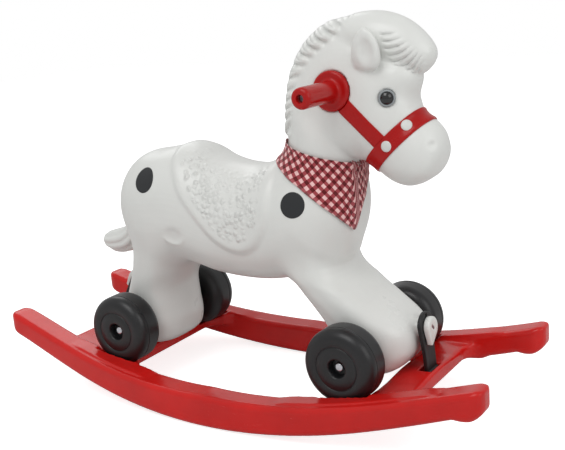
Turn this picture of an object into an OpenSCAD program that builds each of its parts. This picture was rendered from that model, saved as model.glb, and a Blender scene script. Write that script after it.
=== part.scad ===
/* Rocking horse: a hollow moulded horse on four wheels, held by two rubber
   straps on a one-piece rocker base. +X is forward, +Z is up, and the origin is
   on the floor under the middle of the rockers. Lengths are in millimetres. */

/* [Rocker base] */
// Length of the base from rear tips to front tips
rocker_l = 830; // [820:2:844]
// Distance between the middles of the two runners at their tips
tip_span = 242; // [236:2:250]
// How far each runner bows outward at mid length
bow_out = 31; // [24:1:36]
// Width of one runner
bar_w = 43; // [38:1:46]
// Height of a runner at its middle
bar_h = 49; // [46:1:52]
// Height of a runner at its rear tip
bar_rear_h = 35; // [33:1:39]
// Height of a runner at its front tip
bar_front_h = 32; // [30:1:36]
// Radius of the running edge along its middle stretch
run_r = 1020; // [980:10:1060]
// Half length of the middle stretch of the running edge
run_half = 260; // [240:5:280]
// Radius of the running edge towards the tips
tip_run_r = 2000; // [1600:100:3000]
// How far the lugs under the front tips reach below the running edge
lug_deep = 7; // [4:0.5:9]
// Height of the raised deck above the runner's rim
deck_step = 3; // [2:0.5:5]
// Ledge left outside the raised deck
deck_ledge = 9; // [6:1:12]
// Front edge of the rear crossbar, behind the origin
rear_cross_front = 182; // [178:1:186]
// Length of the rear crossbar along the horse
rear_cross_l = 134; // [130:1:138]
// Height of the rear crossbar's front edge above the floor
rear_cross_low = 57; // [54:0.5:58]
// Height of the rear crossbar's rear edge above the floor
rear_cross_top = 71; // [68:0.5:73]
// Rear edge of the front crossbar, ahead of the origin
front_cross_rear = 243; // [240:1:246]
// Length of the front crossbar along the horse
front_cross_l = 57; // [54:1:60]
// Height of the front crossbar's rear edge above the floor
front_cross_low = 66; // [63:0.5:66.5]
// Height of the front crossbar's front edge above the floor
front_cross_top = 71; // [68:0.5:72]
// Thickness of both crossbars
cross_h = 21; // [19:1:23]
// Wall of the moulded base
base_wall = 3.2; // [2.6:0.1:4]

/* [Wheels and axles] */
// Height of both axles above the floor
axle_h = 103; // [101:0.5:105]
// Distance of the rear axle behind the origin
rear_axle_x = 192; // [188:1:196]
// Distance of the front axle ahead of the origin
front_axle_x = 204; // [200:1:208]
// Diameter of a wheel
wheel_d = 109; // [104:1:110]
// Width of a wheel
wheel_w = 50; // [44:1:52]
// Distance over the outer faces of a pair of wheels
track_w = 250; // [246:1:254]
// Wall of a hollow wheel
wheel_wall = 3; // [2.5:0.1:4]
// Rounding of a wheel's shoulders
shoulder_r = 15; // [11:1:17]
// Diameter of the recess that holds the axle cap
hub_recess_d = 30; // [26:1:34]
// Depth of that recess
hub_recess_deep = 13; // [10:1:16]
// Diameter of a wheel's hub tube
hub_d = 24; // [20:1:26]
// Diameter of the steel axles
axle_d = 8; // [7:0.5:9]
// Diameter of an axle cap
cap_d = 14; // [13:0.5:17]
// Outer diameter of a wheel spacer
spacer_d = 22; // [18:1:26]

/* [Horse body] */
// Wall of the moulded horse
horse_wall = 3; // [2.4:0.1:4]
// Half width of the trunk at its widest
trunk_half_w = 86; // [80:1:90]
// Gap that a spacer fills between a leg and its wheel
spacer_t = 10; // [8:0.5:15]
// Half width of the neck
neck_half_w = 57; // [54:0.5:62]
// Half width of the head at the cheeks
head_half_w = 52; // [50:0.5:55]
// Height of the saddle pad above the back
saddle_t = 5; // [3:0.5:7]
// Thickness of the mane on the neck
mane_t = 9; // [6:0.5:12]

/* [Handles] */
// Distance of the handle ahead of the origin
handle_x = 180; // [176:1:184]
// Height of the handle above the floor
handle_z = 468; // [463:1:472]
// Distance over the outer ends of both grips
handle_span = 264; // [240:2:276]
// Diameter of a grip
grip_d = 29; // [26:0.5:32]
// Diameter of a grip's flange
flange_d = 55; // [50:1:58]
// Thickness of a grip's flange
flange_t = 9; // [7:0.5:11]
// Distance between the seats of both flanges
flange_seat_w = 92; // [88:1:94]
// Diameter of the rod that ties both grips
rod_d = 8; // [6:0.5:10]

/* [Bridle, eyes and spots] */
// Width of the noseband
noseband_w = 23; // [18:1:26]
// Width of a cheek strap
cheek_strap_w = 22; // [17:1:24]
// Thickness of the bridle
bridle_t = 2; // [1.5:0.1:3]
// Diameter of a bridle rivet
rivet_d = 15; // [12:0.5:17]
// Diameter of an eye's ring
eye_ring_d = 22; // [19:0.5:25]
// Diameter of the black dome of an eye
eye_dome_d = 17; // [14:0.5:18]
// Diameter of the spots on the hips and shoulders
spot_d = 36; // [32:1:42]
// Distance of the hip spots behind the origin
hip_spot_x = 142; // [138:1:146]
// Height of the hip spots
hip_spot_z = 338; // [334:1:342]
// Distance of the shoulder spots ahead of the origin
shoulder_spot_x = 124; // [120:1:128]
// Height of the shoulder spots
shoulder_spot_z = 315; // [311:1:319]
// Thickness of a spot
spot_t = 0.6; // [0.4:0.1:1]
// Thickness of the bandana's cloth and its soft layers
bandana_t = 2.4; // [1.6:0.1:3]

/* [Straps and latches] */
// Width of a strap at its head
strap_head_w = 44; // [38:1:46]
// Width of a strap at its foot
strap_foot_w = 31; // [26:1:33]
// Thickness of a strap
strap_t = 6; // [5:0.5:7]
// Height of the front latch above the axles
latch_rise = 28; // [26:1:31]
// Extra height of the rear latch, on the taller rear foot
rear_latch_extra = 20; // [16:1:22]
// Lean of the front strap from upright, in degrees
front_lean = 5; // [3:1:7]
// Lean of the rear strap from upright, in degrees
rear_lean = 35; // [33:1:36]
// Diameter of a latch's round end
latch_d = 28; // [26:1:30]
// Length of a latch from its centre to its point
latch_l = 25; // [24:1:27]
// Thickness of a latch plate
latch_t = 9; // [7:0.5:10]
// Angle that the latches are turned to
latch_turn = 20; // [0:5:25]
// Diameter of the latch screws
latch_screw_d = 5; // [4:0.5:6]
// Diameter of the strap pins
strap_pin_d = 6; // [5:0.5:8]

/* [Clearances] */
// Gap between pieces that only rest on each other
seat_gap = 0.3; // [0.2:0.05:0.4]
// Radial play of a wheel on its axle
axle_play = 0.05; // [0.02:0.01:0.09]

/* [Hidden] */

tiny = 0.01;
far = 1000;
white = [0.93, 0.94, 0.94];
red = [0.8, 0.07, 0.07];
black = [0.07, 0.07, 0.08];
steel = [0.78, 0.79, 0.8];

// ---- points along closed outlines and skins through rows of them ----
ring_n = 32;
function side(v) = v < 0 ? -1 : 1;
function bow(t, n) = [side(cos(t)) * pow(abs(cos(t)), 2 / n), side(sin(t)) * pow(abs(sin(t)), 2 / n)];
function bows(n, count) = [for (i = [0 : count - 1]) bow((i + 0.5) * 360 / count, n)];

// A rib stands upright in the plane y = 0: back point, front point, half width and squareness.
function rib_length(r) = norm([r[2] - r[0], r[3] - r[1]]);
function grown(r, g) =
    let (u = [r[2] - r[0], r[3] - r[1]] / max(rib_length(r), tiny))
    [r[0] - u[0] * g, r[1] - u[1] * g, r[2] + u[0] * g, r[3] + u[1] * g, r[4] + g, r[5]];
function rib_ring(r, count) =
    let (c = [(r[0] + r[2]) / 2, (r[1] + r[3]) / 2], a = [(r[2] - r[0]) / 2, (r[3] - r[1]) / 2])
    [for (p = bows(r[5], count)) [c[0] + a[0] * p[0], r[4] * p[1], c[1] + a[1] * p[0]]];

// Catmull-Rom points between the ribs, steps for each span
function blend4(a, b, c, d, t) =
    0.5 * (2 * b + (c - a) * t + (2 * a - 5 * b + 4 * c - d) * t * t + (3 * b - a - 3 * c + d) * t * t * t);
function smooth(r, steps) =
    let (n = len(r) - 1)
    concat([for (i = [0 : n - 1], s = [0 : steps - 1])
        blend4(r[max(i - 1, 0)], r[i], r[i + 1], r[min(i + 2, n)], s / steps)], [r[n]]);

module skin(rings) {
    m = len(rings[0]);
    n = len(rings);
    walls = [for (k = [0 : n - 2], i = [0 : m - 1]) each [
        [k * m + i, (k + 1) * m + i, k * m + (i + 1) % m],
        [k * m + (i + 1) % m, (k + 1) * m + i, (k + 1) * m + (i + 1) % m]]];
    ends = [[for (i = [0 : m - 1]) i], [for (i = [m - 1 : -1 : 0]) (n - 1) * m + i]];
    polyhedron([for (r = rings) each r], concat(walls, ends), convexity = 8);
}
module ribbed(ribs, g, count = ring_n, steps = 2) {
    skin([for (r = smooth(ribs, steps)) rib_ring(grown(r, g), count)]);
}
// Children come back as one closed mesh
module moulded() {
    resize([0, 0, 0]) union() children();
}

// ---- the horse's form, as ribs [back x, back z, front x, front z, half width, squareness] ----
tw = trunk_half_w;
TRUNK = [
    [-224, 308, -224, 274, 0.2 * tw, 2], [-217, 336, -217, 244, 0.56 * tw, 2], [-202, 358, -202, 222, 0.8 * tw, 2.1],
    [-178, 372, -178, 206, 0.94 * tw, 2.2], [-146, 377, -146, 200, tw, 2.3], [-112, 382, -112, 200, tw, 2.3],
    [-80, 379, -80, 194, 0.96 * tw, 2.3], [-48, 364, -48, 186, 0.93 * tw, 2.3], [-10, 354, -10, 182, 0.91 * tw, 2.3],
    [30, 352, 30, 182, 0.92 * tw, 2.3], [64, 362, 64, 186, 0.95 * tw, 2.3], [98, 374, 98, 194, 0.98 * tw, 2.2],
    [130, 376, 130, 208, 0.93 * tw, 2.1], [157, 366, 157, 230, 0.78 * tw, 2], [176, 344, 176, 256, 0.54 * tw, 2],
    [184, 318, 184, 284, 0.18 * tw, 2]
];
nw = neck_half_w;
hw = head_half_w;
NECK = [
    [66, 332, 166, 232, 1.12 * nw, 2.1], [80, 374, 184, 286, 1.1 * nw, 2.1], [92, 414, 189, 332, nw, 2.1],
    [97, 453, 189, 364, nw, 2.1], [106, 495, 192, 369, hw, 2.1], [132, 531, 197, 368, hw, 2.1],
    [175, 551, 201, 367, hw, 2.1], [222, 543, 205, 366, 0.97 * hw, 2.1], [256, 508, 208, 365, 0.93 * hw, 2.1],
    [276, 470, 212, 363, 0.87 * hw, 2.1], [288, 435, 219, 359, 0.82 * hw, 2.1], [305, 422, 234, 347, 0.85 * hw, 2.1],
    [317, 407, 250, 338, 0.83 * hw, 2.1], [322, 387, 269, 334, 0.73 * hw, 2.1], [319, 370, 287, 338, 0.55 * hw, 2],
    [311, 354, 301, 346, 0.2 * hw, 2]
];
wheel_in = track_w / 2 - wheel_w;
lw = wheel_in - spacer_t;
fx = front_axle_x;
rx = -rear_axle_x;
az = axle_h;
foot_front = fx + 67;
foot_back = rx - 52;
FRONT_LEGS = [
    [fx - 42, az - 33, fx + 40, az - 33, 0.84 * lw, 2.8], [fx - 52, az - 22, fx + 54, az - 22, 0.96 * lw, 3],
    [fx - 55, az, foot_front, az, lw, 2.8], [fx - 68, az + 30, foot_front - 3, az + 31, 1.01 * lw, 2.7],
    [fx - 88, az + 58, fx + 32, az + 57, 1.03 * lw, 2.6], [fx - 106, az + 84, fx - 3, az + 80, 1.05 * lw, 2.7],
    [fx - 127, az + 120, fx - 40, az + 116, 1.06 * lw, 2.7], [fx - 136, az + 214, fx - 36, az + 214, 0.86 * lw, 2.6]
];
REAR_LEGS = [
    [rx - 36, az - 41, rx + 36, az - 41, 0.8 * lw, 2.8], [rx - 47, az - 30, rx + 46, az - 30, 0.94 * lw, 3],
    [foot_back, az - 8, rx + 50, az - 8, 0.99 * lw, 3], [foot_back + 4, az + 20, rx + 46, az + 20, 1.01 * lw, 2.9],
    [rx - 34, az + 54, rx + 44, az + 52, 1.02 * lw, 2.8], [rx - 22, az + 88, rx + 60, az + 84, 1.05 * lw, 2.8],
    [rx - 15, az + 130, rx + 86, az + 130, 1.1 * lw, 2.8], [rx - 8, az + 204, rx + 102, az + 204, 0.95 * lw, 2.6]
];
module horse_form(g) {
    ribbed(TRUNK, g);
    ribbed(NECK, g);
    ribbed(FRONT_LEGS, g, 28, 1);
    ribbed(REAR_LEGS, g, 28, 1);
}
// The layer between two distances from the form
module layer(near, away) {
    difference() {
        union() horse_form(away);
        union() horse_form(near);
    }
}
// An upright slab from y0 to y1 over an outline in the side view
module side_slab(outline, y0, y1) {
    translate([0, y1, 0]) rotate([90, 0, 0]) linear_extrude(y1 - y0) polygon(outline);
}

// ---- mane, forelock, ears, tail and saddle, all moulded into the horse ----
MANE_OUTLINE = [
    [40, 404], [40, 582], [250, 582], [252, 527], [216, 502], [176, 510], [146, 498], [124, 474],
    [112, 444], [104, 416], [97, 404]
];
FORELOCK = [
    [196, 564, 214, 502, 0.7 * hw, 2], [236, 564, 244, 494, 0.68 * hw, 2], [268, 555, 271, 487, 0.6 * hw, 2],
    [292, 540, 291, 484, 0.48 * hw, 2], [307, 522, 303, 492, 0.3 * hw, 2], [311, 510, 309, 501, 0.1 * hw, 2]
];
TAIL = [
    [-307, 220, -305, 211, 7, 2], [-300, 228, -296, 201, 18, 2], [-282, 234, -276, 194, 22, 2],
    [-262, 240, -246, 200, 22, 2], [-248, 252, -220, 226, 20, 2], [-243, 278, -208, 268, 18, 2],
    [-239, 312, -206, 302, 17, 2], [-225, 344, -196, 324, 15, 2], [-200, 354, -180, 322, 11, 2]
];
EAR = [[20, 0, 9], [21, 14, 10], [19, 30, 9], [14, 44, 7], [7, 54, 5], [2, 58, 2]];
ear_root = [219, 0.84 * hw, 488];
module ears() {
    for (s = [-1, 1]) translate([ear_root[0], s * ear_root[1], ear_root[2]]) rotate([s * -7, 6, 0])
        skin([for (e = EAR) [for (p = bows(2, 16)) [e[0] * p[0], e[2] * p[1], e[1]]]]);
}
SADDLE_OUTLINE = [
    [-120, 412], [-118, 354], [-98, 300], [-62, 256], [-24, 237], [14, 232], [46, 244], [66, 272],
    [74, 312], [82, 354], [86, 412]
];
module saddle_pad() {
    intersection() {
        ribbed(TRUNK, saddle_t);
        side_slab(SADDLE_OUTLINE, -far, far);
    }
}
module mane() {
    intersection() {
        ribbed(NECK, mane_t);
        side_slab(MANE_OUTLINE, -far, far);
    }
}

// ---- where things sit on the head ----
eye_at = [257, 0.78 * hw, 457];
eye_turn = 28;
eye_deep = 6;
eye_proud = 2.2;
// Children's +Z points out of the side s (-1 right, 1 left)
module outward(s) {
    rotate([s * -90, 0, 0]) children();
}
module at_eye(s) {
    translate([eye_at[0], s * eye_at[1], eye_at[2]]) outward(s) rotate([0, eye_turn, 0]) children();
}
module at_handle(s) {
    translate([handle_x, 0, handle_z]) outward(s) children();
}
module both_sides() {
    for (s = [-1, 1]) at_handle(s) children();
}
grip_seat = flange_seat_w / 2;
grip_out = handle_span / 2;
screw_recess = 12;
grip_web = 10;
rod_half = grip_out - screw_recess - grip_web;
screw_head_d = 9;
screw_head_h = 3;
handle_screw_d = 4;

// ---- axles, wheels and the wells that they stand in ----
wheel_r = wheel_d / 2;
cap_seat = track_w / 2 - hub_recess_deep;
axle_half = cap_seat + 4;
well_gap = 1.5;
AXLES = [-rear_axle_x, front_axle_x];
module at_axle(x) {
    translate([x, 0, axle_h]) children();
}

// ---- straps: a pad on the foot, the strap lying on it, and a pin in the crossbar ----
pad_r = 12;
pad_deep = 24;
neck_r = 7;
pin_drop = 6;
// [side, pad face x, latch height, lean, height of the pin]
FRONT_STRAP = [1, foot_front + 6, axle_h + latch_rise, front_lean, front_cross_top - pin_drop];
REAR_STRAP = [-1, foot_back + 4, axle_h + latch_rise + rear_latch_extra, rear_lean, rear_cross_top - pin_drop - 1];
STRAPS = [FRONT_STRAP, REAR_STRAP];
function strap_mid(t) =
    let (off = seat_gap + strap_t / 2)
    [t[1] + t[0] * cos(t[3]) * off, t[2] + sin(t[3]) * off];
function strap_l(t) = (strap_mid(t)[1] - t[4]) / cos(t[3]);
function pin_x(t) = strap_mid(t)[0] + t[0] * strap_l(t) * sin(t[3]);
function pin_z(t) = t[4];
// Children stand on the pad's face: +Z leaves the foot, and +X runs down the strap
module on_pad(t) {
    translate([t[1], 0, t[2]]) rotate([0, 0, t[0] < 0 ? 180 : 0]) rotate([0, 90 - t[3], 0]) children();
}

module horse_body() color(white) difference() {
    moulded() {
        horse_form(0);
        mane();
        ribbed(FORELOCK, 0, 20, 1);
        ribbed(TAIL, 0, 16, 1);
        ears();
        saddle_pad();
        for (t = STRAPS) on_pad(t) translate([0, 0, -pad_deep]) cylinder(r = pad_r, h = pad_deep, $fn = 32);
    }
    moulded() difference() {
        union() {
            ribbed([for (i = [1 : len(TRUNK) - 2]) TRUNK[i]], -horse_wall, 20, 1);
            ribbed([for (i = [0 : len(NECK) - 2]) NECK[i]], -horse_wall, 20, 1);
            ribbed([for (i = [1 : len(FRONT_LEGS) - 1]) FRONT_LEGS[i]], -horse_wall, 16, 1);
            ribbed([for (i = [1 : len(REAR_LEGS) - 1]) REAR_LEGS[i]], -horse_wall, 16, 1);
        }
        for (t = STRAPS) on_pad(t) translate([0, 0, -pad_deep - horse_wall])
            cylinder(r = pad_r + tiny, h = far, $fn = 32);
        for (s = [-1, 1]) {
            at_handle(s) translate([0, 0, grip_seat - horse_wall])
                cylinder(r = flange_d / 2 + horse_wall, h = 60, $fn = 32);
            at_eye(s) translate([0, 0, -eye_deep - horse_wall])
                cylinder(r = eye_ring_d / 2 + horse_wall, h = 60, $fn = 24);
        }
    }
    for (x = AXLES) at_axle(x) rotate([90, 0, 0])
        cylinder(r = axle_d / 2 + axle_play, h = far, center = true, $fn = 48);
    at_handle(1) cylinder(r = rod_d / 2 + seat_gap, h = far, center = true, $fn = 32);
    for (s = [-1, 1]) {
        at_handle(s) translate([0, 0, grip_seat]) cylinder(r = flange_d / 2 + seat_gap, h = 40, $fn = 64);
        at_eye(s) translate([0, 0, -eye_deep]) cylinder(r = eye_ring_d / 2 + seat_gap, h = 40, $fn = 48);
    }
    for (t = STRAPS) on_pad(t) translate([0, 0, -pad_deep + 2])
        cylinder(r = latch_screw_d / 2 + axle_play, h = 60, $fn = 24);
}

// ---- the rocker base ----
half_l = rocker_l / 2;
run_turn = asin(run_half / run_r);
run_rise = run_r * (1 - cos(run_turn));
// Height of the running edge above the floor
function run_z(x) =
    let (d = abs(x), turn = asin(sin(run_turn) + max(d - run_half, 0) / tip_run_r))
    d < run_half ? run_r - sqrt(run_r * run_r - d * d) : run_rise + tip_run_r * (cos(run_turn) - cos(turn));
function bar_tall(x) = bar_h + ((x < 0 ? bar_rear_h : bar_front_h) - bar_h) * abs(x) / half_l;
function rim_z(x) = run_z(x) + bar_tall(x);
// Middle of a runner, seen from above
function bar_y(x) = tip_span / 2 + bow_out * pow(max(0, 1 - pow(x / (half_l - 20), 2)), 1.5);
lug_x = half_l - 40;
lug_l = 46;
function lug(x) = x < lug_x ? 0 : lug_deep * sin(180 * (x - lug_x) / lug_l);
// Rounded rectangle in a plane of [u, v], counted anticlockwise
function pill(w, h, r, k = 4) = [for (q = [0 : 3], i = [0 : k])
    let (a = q * 90 + i * 90 / k, sx = (q == 0 || q == 3) ? 1 : -1, sy = q < 2 ? 1 : -1)
    [sx * (w / 2 - r) + r * cos(a), sy * (h / 2 - r) + r * sin(a)]];
bar_round = 8;
tip_round = 18;
function tip_scale(x) =
    let (d = min(half_l - abs(x), tip_round))
    0.35 + 0.65 * sqrt(max(0, 1 - pow(1 - d / tip_round, 2)));
function bar_ring(x, s) =
    let (f = tip_scale(x), low = run_z(x) - lug(x), top = rim_z(x), r = max(2, bar_round * f))
    [for (p = pill(bar_w * f, (top - low) * (0.5 + 0.5 * f), r)) [x, s * bar_y(x) + p[0], (low + top) / 2 + p[1]]];
BAR_X = concat(
    [for (d = [0, 3, 8, 18]) d - half_l],
    [for (i = [1 : 24]) -half_l + 18 + i * (rocker_l - 66) / 25],
    [for (d = [-48, -40, -32, -24, -16, -8, -3, 0]) half_l + d]);
well_r = wheel_r + seat_gap;
// Lowest height at which a wheel's well leaves its floor standing
function well_z(x) = min([for (a = AXLES)
    let (r = well_r + base_wall, d = abs(x - a)) d < r ? axle_h - sqrt(r * r - d * d) : far]);
function hollow_ring(x, s) =
    let (low = run_z(x) + base_wall, top = min(rim_z(x) - base_wall, well_z(x)), w = bar_w - 2 * base_wall)
    [for (p = pill(w, top - low, 4, 2)) [x, s * bar_y(x) + p[0], (low + top) / 2 + p[1]]];
HOLLOW_X = [for (i = [0 : 24]) -half_l + tip_round + 4 + i * (rocker_l - 2 * tip_round - 42) / 24];
// Raised deck from x0 to x1, narrower than the runner by the ledge
deck_end = 26;
function deck_ring(x, x0, x1, s) =
    let (e = min(1, min(x - x0, x1 - x) / deck_end), up = deck_step * (1 - pow(1 - e, 2)) - 0.5,
        low = rim_z(x) - 14, top = rim_z(x) + up)
    [for (p = pill(bar_w - deck_ledge - 4, top - low, 3, 2))
        [x, s * (bar_y(x) - deck_ledge / 2) + p[0], (low + top) / 2 + p[1]]];
DECKS = [[-276, -110], [118, half_l - 62]];
module deck(span, s) {
    skin([for (i = [0 : 12]) let (x = span[0] + i * (span[1] - span[0]) / 12) deck_ring(x, span[0], span[1], s)]);
}
// Crossbars as [rear x, front x, rear top, front top, rise in the middle]
REAR_CROSS = [-rear_cross_front - rear_cross_l, -rear_cross_front, rear_cross_top, rear_cross_low, 0];
FRONT_CROSS = [front_cross_rear, front_cross_rear + front_cross_l, front_cross_low, front_cross_top, 3];
fillet = 30;
CROSS_U = [0, 0.5, 2, 5, 20, 50, 80, 95, 98, 99.5, 100] / 100;
function cross_end(c, x) = bar_y(x) - bar_w / 2;
// Extra length from the fillets where a crossbar meets the runners
function flare(y, in) =
    let (t = min(1, max(0, abs(y) - (in - fillet)) / fillet)) fillet * (1 - sqrt(1 - t * t));
function cross_ring(y, c, g) =
    let (in = cross_end(c, (c[0] + c[1]) / 2), e = flare(y, in) - g, x0 = c[0] - e, x1 = c[1] + e,
        up = c[4] * max(0, cos(min(90, abs(y) * 1.6))), n = len(CROSS_U),
        P = [for (u = CROSS_U) let (q = min(u, 1 - u) * (x1 - x0), r = 6, k = q < r ? sqrt(r * r - (r - q) * (r - q)) : r)
            [x0 + u * (x1 - x0), c[2] + (c[3] - c[2]) * u + up - g, k - r]])
    concat([for (i = [0 : n - 1]) [P[i][0], y, P[i][1] + P[i][2]]],
        [for (i = [n - 2 : -1 : 1]) [P[i][0], y, P[i][1] - cross_h + 2 * g - P[i][2] - up]]);
function cross_stations(c) =
    let (in = cross_end(c, (c[0] + c[1]) / 2))
    [-in - 12, 1 - in, 6 - in, 13 - in, 21 - in, fillet - in, -50, -36, -18,
        0, 18, 36, 50, in - fillet, in - 21, in - 13, in - 6, in - 1, in + 12];
module crossbar(c) {
    skin([for (y = cross_stations(c)) cross_ring(y, c, 0)]);
}
pocket_half = strap_foot_w / 2 + 1;
module cross_hollow(c) {
    for (s = [-1, 1]) skin([for (i = [0 : 4])
        cross_ring(s > 0 ? pocket_half + 14 + 10 * i : -pocket_half - 54 + 10 * i, c, base_wall)]);
}
pin_hold = 9;
lean_room = 5;
eye_r = strap_t / 2 + strap_pin_d / 2;
module rocker_base() color(red) difference() {
    moulded() {
        for (s = [-1, 1]) {
            skin([for (x = BAR_X) bar_ring(x, s)]);
            for (d = DECKS) deck(d, s);
        }
        crossbar(REAR_CROSS);
        crossbar(FRONT_CROSS);
    }
    moulded() {
        for (s = [-1, 1]) skin([for (x = HOLLOW_X) hollow_ring(x, s)]);
        cross_hollow(REAR_CROSS);
        cross_hollow(FRONT_CROSS);
    }
    for (x = AXLES, s = [-1, 1]) at_axle(x) outward(s) translate([0, 0, wheel_in - well_gap])
        cylinder(r = well_r, h = wheel_w + 2 * well_gap, $fn = 96);
    for (t = STRAPS) translate([pin_x(t), 0, pin_z(t)]) rotate([90, 0, 0]) {
        cylinder(r = strap_pin_d / 2 + axle_play, h = 2 * (pocket_half + pin_hold), center = true, $fn = 32);
        cylinder(r = eye_r + 1, h = 2 * pocket_half, center = true, $fn = 32);
    }
    for (t = STRAPS) translate([pin_x(t) - eye_r - 1 - (t[0] > 0 ? lean_room : 0), -pocket_half, pin_z(t)])
        cube([2 * eye_r + 2 + lean_room, 2 * pocket_half, 40]);
}

// ---- handles ----
module grip(s) color(red) at_handle(s) difference() {
    rotate_extrude($fn = 64) polygon(concat(
        [[0, grip_seat], [flange_d / 2 - 1, grip_seat], [flange_d / 2, grip_seat + 1]],
        [for (a = [0 : 18 : 90]) [flange_d / 2 - 4 + 4 * cos(a), grip_seat + flange_t - 4 + 4 * sin(a)]],
        [for (a = [0 : 22.5 : 90]) [grip_d / 2 + 5 - 5 * sin(a), grip_seat + flange_t + 5 - 5 * cos(a)]],
        [for (a = [0 : 15 : 90]) [grip_d / 2 - 6 + 6 * cos(a), grip_out - 6 + 6 * sin(a)]],
        [[0, grip_out]]));
    translate([0, 0, grip_seat - 1]) cylinder(r = rod_d / 2 + axle_play, h = rod_half - grip_seat + 1, $fn = 32);
    translate([0, 0, grip_seat]) cylinder(r = handle_screw_d / 2 + 0.3, h = 200, $fn = 24);
    translate([0, 0, grip_out - screw_recess]) cylinder(r = screw_head_d / 2 + 0.8, h = 40, $fn = 32);
}
module handle_grip_right() grip(-1);
module handle_grip_left() grip(1);
screw_bite = 15;
module handle_tie_rod() color(steel) difference() {
    at_handle(1) cylinder(r = rod_d / 2, h = 2 * rod_half - 0.6, center = true, $fn = 32);
    both_sides() translate([0, 0, rod_half - screw_bite]) cylinder(r = handle_screw_d / 2, h = 40, $fn = 24);
}
module handle_screws() color(steel) both_sides() difference() {
    union() {
        translate([0, 0, rod_half - screw_bite + 1]) cylinder(r = handle_screw_d / 2, h = screw_bite + grip_web, $fn = 24);
        translate([0, 0, grip_out - screw_recess]) cylinder(r = screw_head_d / 2, h = screw_head_h, $fn = 32);
    }
    translate([0, 0, grip_out - screw_recess + screw_head_h - 1.5]) cylinder(r = 2.2, h = 4, $fn = 6);
}

// ---- eyes ----
module eye_rings() color([0.45, 0.46, 0.48]) for (s = [-1, 1]) at_eye(s) rotate_extrude($fn = 48) polygon([
    [eye_dome_d / 2, -eye_deep], [eye_ring_d / 2, -eye_deep], [eye_ring_d / 2, eye_proud - 1],
    [eye_ring_d / 2 - 1, eye_proud], [eye_dome_d / 2, eye_proud]]);
dome_h = 4;
dome_r = (eye_dome_d * eye_dome_d / 4 + dome_h * dome_h) / (2 * dome_h);
module eye_domes() color(black) for (s = [-1, 1]) at_eye(s) rotate_extrude($fn = 48) polygon(concat(
    [[0, -eye_deep], [eye_dome_d / 2 - axle_play, -eye_deep]],
    [for (i = [0 : 6]) let (r = (eye_dome_d / 2 - axle_play) * (1 - i / 6))
        [r, eye_proud - 0.5 + sqrt(dome_r * dome_r - r * r) - dome_r + dome_h]]));

// ---- bridle ----
band_top = [294.5, 431];
band_low = [218.5, 360.5];
band_dir = (band_low - band_top) / norm(band_low - band_top);
band_side = [-band_dir[1], band_dir[0]];
band_over = 40;
chin_over = 10;
function band_outline(w) = [
    band_top - band_dir * band_over + band_side * w / 2, band_low + band_dir * chin_over + band_side * w / 2,
    band_low + band_dir * chin_over - band_side * w / 2, band_top - band_dir * band_over - band_side * w / 2];
module head_layer(near, away) {
    difference() {
        ribbed(NECK, away);
        ribbed(NECK, near);
    }
}
module noseband() color(red) moulded() intersection() {
    head_layer(seat_gap, seat_gap + bridle_t);
    side_slab(band_outline(noseband_w), -far, far);
}
strap_end = [252, 391];
cheek_dir = (strap_end - [handle_x, handle_z]) / norm(strap_end - [handle_x, handle_z]);
cheek_side = [-cheek_dir[1], cheek_dir[0]];
module cheek_strap(s) color(red) moulded() intersection() {
    head_layer(seat_gap, seat_gap + bridle_t);
    difference() {
        side_slab([
            [handle_x, handle_z] + cheek_side * cheek_strap_w / 2, strap_end + cheek_side * cheek_strap_w / 2,
            strap_end - cheek_side * cheek_strap_w / 2, [handle_x, handle_z] - cheek_side * cheek_strap_w / 2],
            s < 0 ? -far : 5, s < 0 ? -5 : far);
        side_slab(band_outline(noseband_w + 2 * seat_gap), -far, far);
        at_handle(s) cylinder(r = flange_d / 2 + 2 * seat_gap, h = far, $fn = 48);
    }
}
module cheek_strap_right() cheek_strap(-1);
module cheek_strap_left() cheek_strap(1);
// [x, half width, z, turn forward, turn up] of a rivet's foot
RIVETS = [[279, 34.6, 421, 28, 34], [255, 45.4, 394, -3, 2]];
rivet_h = 2.4;
module bridle_rivets() color(white) moulded() difference() {
    for (s = [-1, 1], r = RIVETS)
        translate([r[0], s * r[1], r[2]]) rotate([0, 0, -s * r[3]]) rotate([s * r[4], 0, 0]) outward(s)
            rotate_extrude($fn = 40) polygon([[0, -3], [rivet_d / 2, -3], [rivet_d / 2, 0.8], [rivet_d / 2 - 1, 1.7],
                [rivet_d / 4, rivet_h], [0, rivet_h]]);
    ribbed(NECK, 2 * seat_gap + bridle_t);
}

// ---- bandana ----
NECKLINE = [[40, 400], [98, 396], [128, 387], [150, 381], [170, 375], [186, 367], [195, 358], [203, 345],
    [230, 330], [230, 182], [40, 182]];
RIGHT_FLAP = [[40, 412], [40, 390], [86, 377], [99, 358], [128, 340], [151, 321], [174, 268], [240, 252], [240, 412]];
FRONT_FLAP = [[-16, 266], [-4, 290], [8, 314], [30, 342], [66, 352], [100, 352], [100, 412], [-16, 412]];
LEFT_BAND = [[40, 412], [40, 390], [86, 377], [104, 362], [150, 354], [150, 412]];
flap_y = -16;
module bandana() color([0.75, 0.3, 0.33]) moulded() intersection() {
    layer(seat_gap + 0.4, seat_gap + 0.4 + bandana_t);
    side_slab(NECKLINE, -far, far);
    union() {
        side_slab(RIGHT_FLAP, -far, flap_y);
        translate([140, 0, 0]) rotate([90, 0, 90]) linear_extrude(far) polygon(FRONT_FLAP);
        side_slab(LEFT_BAND, flap_y, far);
    }
}
knot_at = [84, 40, 386];
module bandana_knot() color([0.75, 0.3, 0.33]) moulded() difference() {
    translate(knot_at) rotate([0, 0, 125]) knot_form();
    ribbed(TRUNK, saddle_t + seat_gap);
    ribbed(NECK, 2 * seat_gap + 0.4 + bandana_t);
}
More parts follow.
